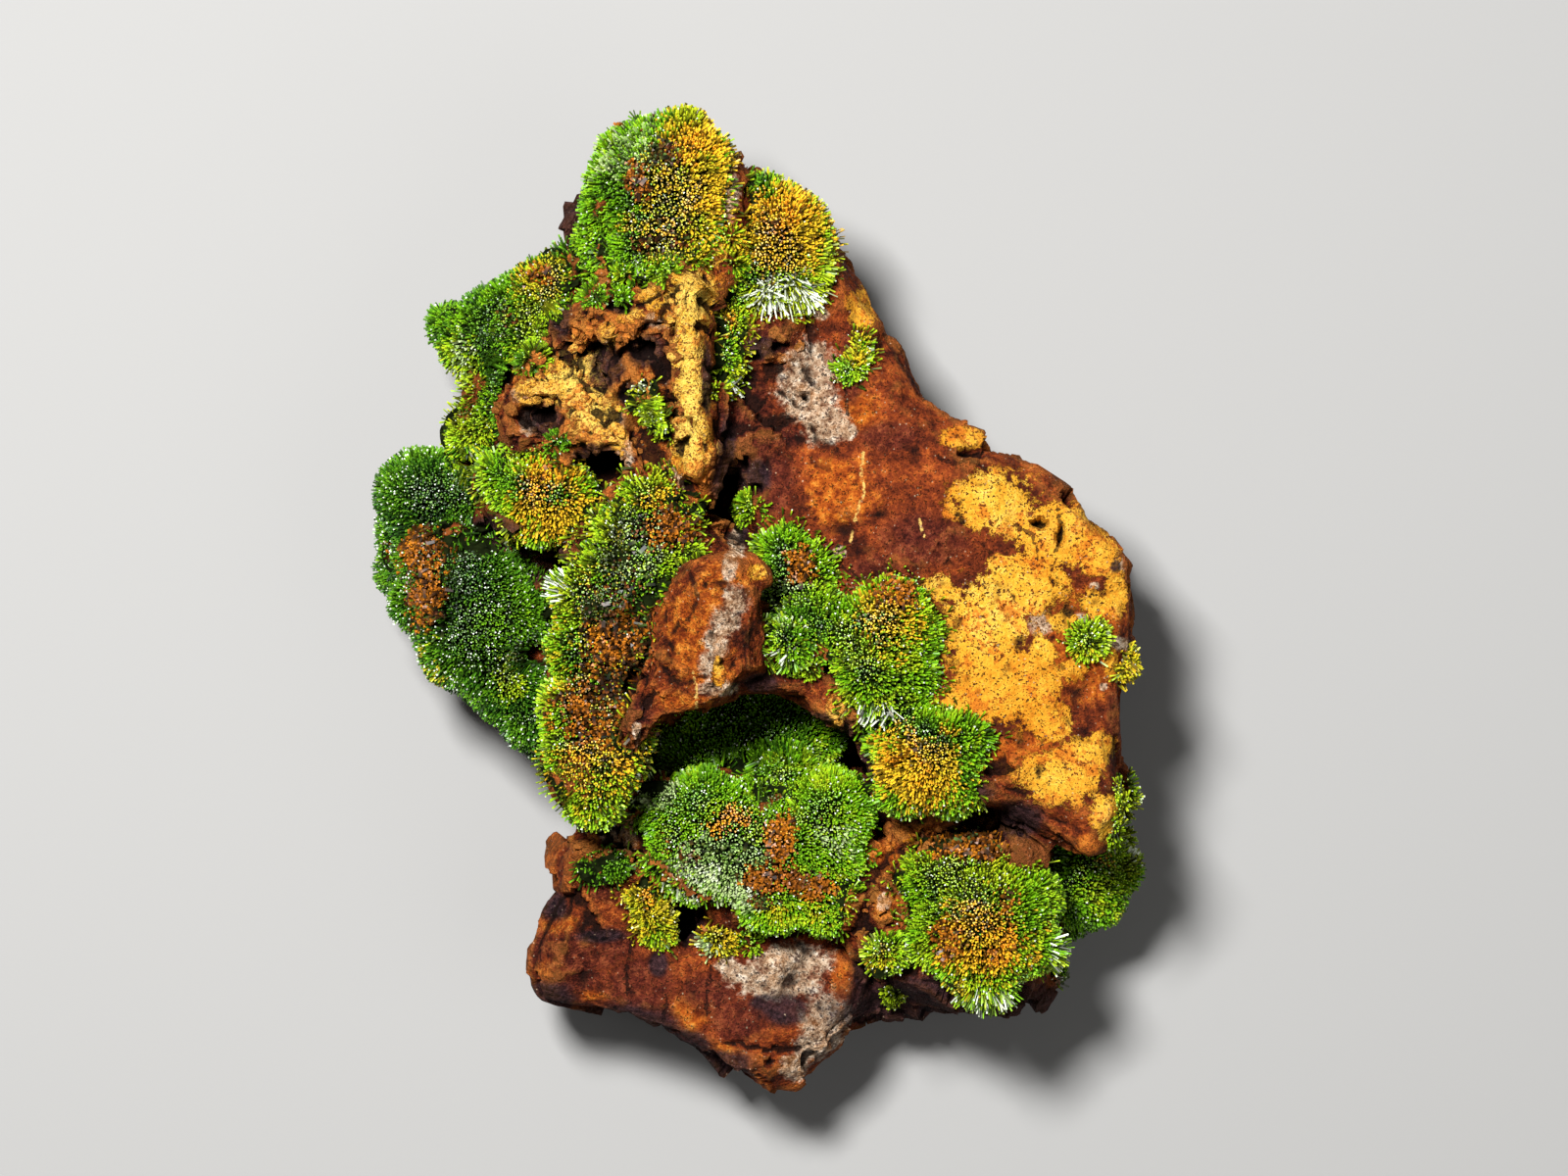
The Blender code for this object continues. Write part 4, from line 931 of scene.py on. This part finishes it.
# The crust along the slab's inner edge, with the round head at its lower end.
grow(
    "slab_edge_crust", "slab_edge_needles", 0.27,
    [
        (3.2, 0.6, 3, 3.8, FROSTED, 0.5), (2.6, 4.6, 2.2, 2.2, VIVID, 0.9), (5, 3.4, 1.8, 2, RUSTY, 0.75),
        (4.8, -2.6, 3.2, 2.6, GREEN, 0.6), (14.2, -2.4, 3.6, 3.8, GOLD, 0.75),
        (14.2, 0.8, 2.6, 1.8, RUSTY, 0.6), (12, -5, 5.6, 2.2, LIME, 0.5), (10, -9, 4.4, 3, LIME, 0.6),
        (17.4, -17.2, 5.2, 4.4, GOLD, 0.95), (16.6, -17, 3, 3, OCHRE_TINT, 0.3),
        (19, -12.6, 4, 2, VIVID, 0.7), (22, -16, 1.2, 3.6, VIVID, 0.7),
    ],
    fringe=[(12, -11.6, 2.6, 1), (2.6, -6.2, 2, 0.9)], tufts=[(-0.2, 9, 1.4), (5.6, -7, 1.2)],
)


# The crust in the hollow. It is the brightest green, because nothing has coated it but a
# few rusty spots, and it turns pale and frosted towards its lower left.
grow(
    "hollow_crust", "hollow_needles", VIVID,
    [
        (0.5, -13.5, 8.6, 3.4, GREEN, 0.8), (-5.4, -18.6, 4, 2.6, GREEN, 0.5),
        (-10.4, -19.6, 3.2, 2.4, FROSTED, 0.7), (6, -19.8, 4.8, 4.4, 0.28, 0.95),
        (6.4, -18, 3.4, 2, 0.31, 0.7), (-2, -20.6, 4, 2, 0.27, 0.7), (8.6, -24.4, 2.4, 2.2, FROSTED, 0.4),
        (-3.4, -27, 5, 3.6, FROSTED, 0.8), (-6, -28.6, 3, 2.6, PALE, 0.6),
        (-1.4, -30.4, 2.2, 2, PALE, 0.6), (4.4, -32.4, 5.6, 1.6, LIME, 0.7),
        (5, -31.6, 4.6, 1.6, OLIVE, 0.4), (9, -29.4, 1.6, 1.6, LIME, 0.7),
        (-2.4, -22.8, 2.2, 1.6, OCHRE_TINT, 0.7), (2.9, -24.4, 1.5, 2.4, RUSTY, 0.9),
        (2.4, -24, 1.2, 1.4, OCHRE_TINT, 0.5), (2, -28.6, 3, 1.5, RUSTY, 0.85),
        (6, -29.6, 2.2, 1.3, RUSTY, 0.75), (1.4, -31, 2.6, 0.9, BROWN, 0.5),
    ],
    length=2.8, sparkle=0.04, dim=0.16, evenness=2,
    creases=[[(-2, -17), (2.2, -15.6), (6, -16)], [(2.2, -15.6), (0.8, -20)]],
    tufts=[(-0.2, -35.4, 1.2)],
)


# The round head on the lower right shelf: rusty where it meets the slab, lime along its
# upper rim, and gold and ochre below.
grow(
    "shelf_dome", "shelf_dome_needles", 0.28,
    [
        (23.6, -34.6, 5, 4.4, GOLD, 0.85), (24.4, -33.8, 3.4, 3.6, OCHRE_TINT, 0.5),
        (25.6, -35, 3.4, 2.4, RUSTY, 0.35), (19.2, -34.6, 2, 2.6, RUSTY, 0.6),
        (22, -27.8, 5.8, 2.6, LIME, 0.95), (22.6, -24.8, 7, 1.5, RUSTY, 0.95),
        (24.6, -24.6, 6, 1.3, BROWN, 0.5), (28.6, -31.5, 2.2, 4.4, VIVID, 0.7),
        (26.4, -30.6, 1.2, 1.6, RUSTY, 0.4), (22.4, -39.6, 5, 1.2, OLIVE, 0.6),
    ],
    length=3.2, fringe=[(24.6, -40.9, 5, 0.9), (30.8, -36.6, 1, 2.2)], tufts=[(14.4, -41, 1)],
)


# The crust on the low rock behind the slab's lower corner, lime at its outer rim.
grow(
    "far_right_crust", "far_right_needles", 0.24,
    [
        (38.6, -20, 1.8, 4.6, LIME, 0.9), (38.6, -25, 1.6, 4, LIME, 0.9), (39.4, -24, 0.9, 4, PALE, 0.6),
        (37, -30, 2.6, 3, LIME, 0.7), (36.4, -26.8, 1.4, 1.2, GOLD, 0.5),
    ],
    tufts=[(38.4, -19.4, 1.6), (38.6, -21.8, 1.9), (37.8, -24.2, 1.6)],
)


# The small tufts and sprigs that stand alone.
grow("slab_tuft", "slab_tuft_needles", 0.30, [(33.2, -5.4, 1.6, 1.2, OLIVE, 0.4)], sparkle=0.05, rim=0.7)
grow("edge_tuft", "edge_tuft_needles", OLIVE, [(38, -6, 2, 2, GOLD, 0.4)], rim=0.7)
grow(
    "slab_top_sprig", "slab_top_sprig_needles", 0.27, [(10.8, 26, 1.8, 2.2, OLIVE, 0.7)],
    sparkle=0.05, rim=0.9,
)
grow("ochre_tuft", "ochre_tuft_needles", LIME, [(-10.4, 21.6, 1.2, 1, PALE, 0.6)], sparkle=0.1, rim=0.9)
grow("lower_left_sprig", "lower_left_sprig_needles", GREEN, [], rim=0.9)
grow(
    "lower_left_tuft", "lower_left_tuft_needles", OLIVE,
    [(-9.6, -35.4, 1.8, 1.6, LIME, 0.8), (-10.4, -30.5, 1.6, 1.6, OCHRE_TINT, 0.5)],
    fringe=[(-9.4, -36.8, 2.2, 0.8)], rim=0.9,
)
grow(
    "plate_stub", "plate_stub_needles", OLIVE,
    [(-6, -33, 1.6, 1.6, RUSTY, 0.5), (-5.4, -36, 2, 1.2, PALE, 0.6)], rim=0.9,
)
grow("shelf_tuft", "shelf_tuft_needles", 0.30, [(12.8, -36.6, 1.8, 1.6, OLIVE, 0.6)], sparkle=0.06, rim=0.9)
grow(
    "side_knob", "side_knob_needles", VIVID,
    [(30.4, -38.2, 1, 2.4, PALE, 0.9), (32.4, -38, 0.8, 1.4, LIME, 0.5)], rim=0.9,
)


# What it lies on, the light and the camera. The main light comes from beyond the upper left
# of the picture, as in the photograph, and a weak one fills the shadows.
bpy.ops.mesh.primitive_plane_add(size=3)
floor = bpy.context.object
floor.name = "floor"
floor_finish = Finish("pale_floor", roughness=0.9)
floor_finish.feed("Base Color", (0.34, 0.336, 0.328, 1.0))
floor.data.materials.append(floor_finish.material)


LIGHT_AIM = Vector((0, 0, 0.02))


def soft_light(name, place, size, watts):
    bpy.ops.object.light_add(type="AREA", location=place)
    lamp = bpy.context.object
    lamp.name = name
    lamp.data.size = size
    lamp.data.energy = watts
    lamp.rotation_euler = (LIGHT_AIM - Vector(place)).to_track_quat("-Z", "Y").to_euler()


soft_light("key_light", (-0.14, 0.18, 0.55), 0.12, 7.3)
soft_light("fill_light", (0.42, -0.22, 0.5), 0.5, 0.7)
world = bpy.data.worlds.new("studio")
world.use_nodes = True
world.node_tree.nodes["Background"].inputs["Color"].default_value = (1.0, 1.0, 1.0, 1.0)
world.node_tree.nodes["Background"].inputs["Strength"].default_value = 0.08
bpy.context.scene.world = world

FRAME_WIDTH, LENS, SENSOR = 0.160, 200.0, 36.0
camera_height = 22 * MM + FRAME_WIDTH * LENS / SENSOR
bpy.ops.object.camera_add(location=(3.2 * MM, 1.0 * MM, camera_height), rotation=(0, 0, 0))
camera = bpy.context.object
camera.data.lens = LENS
camera.data.sensor_width = SENSOR
camera.data.clip_end = 20
bpy.context.scene.camera = camera
bpy.context.scene.view_settings.view_transform = "Standard"
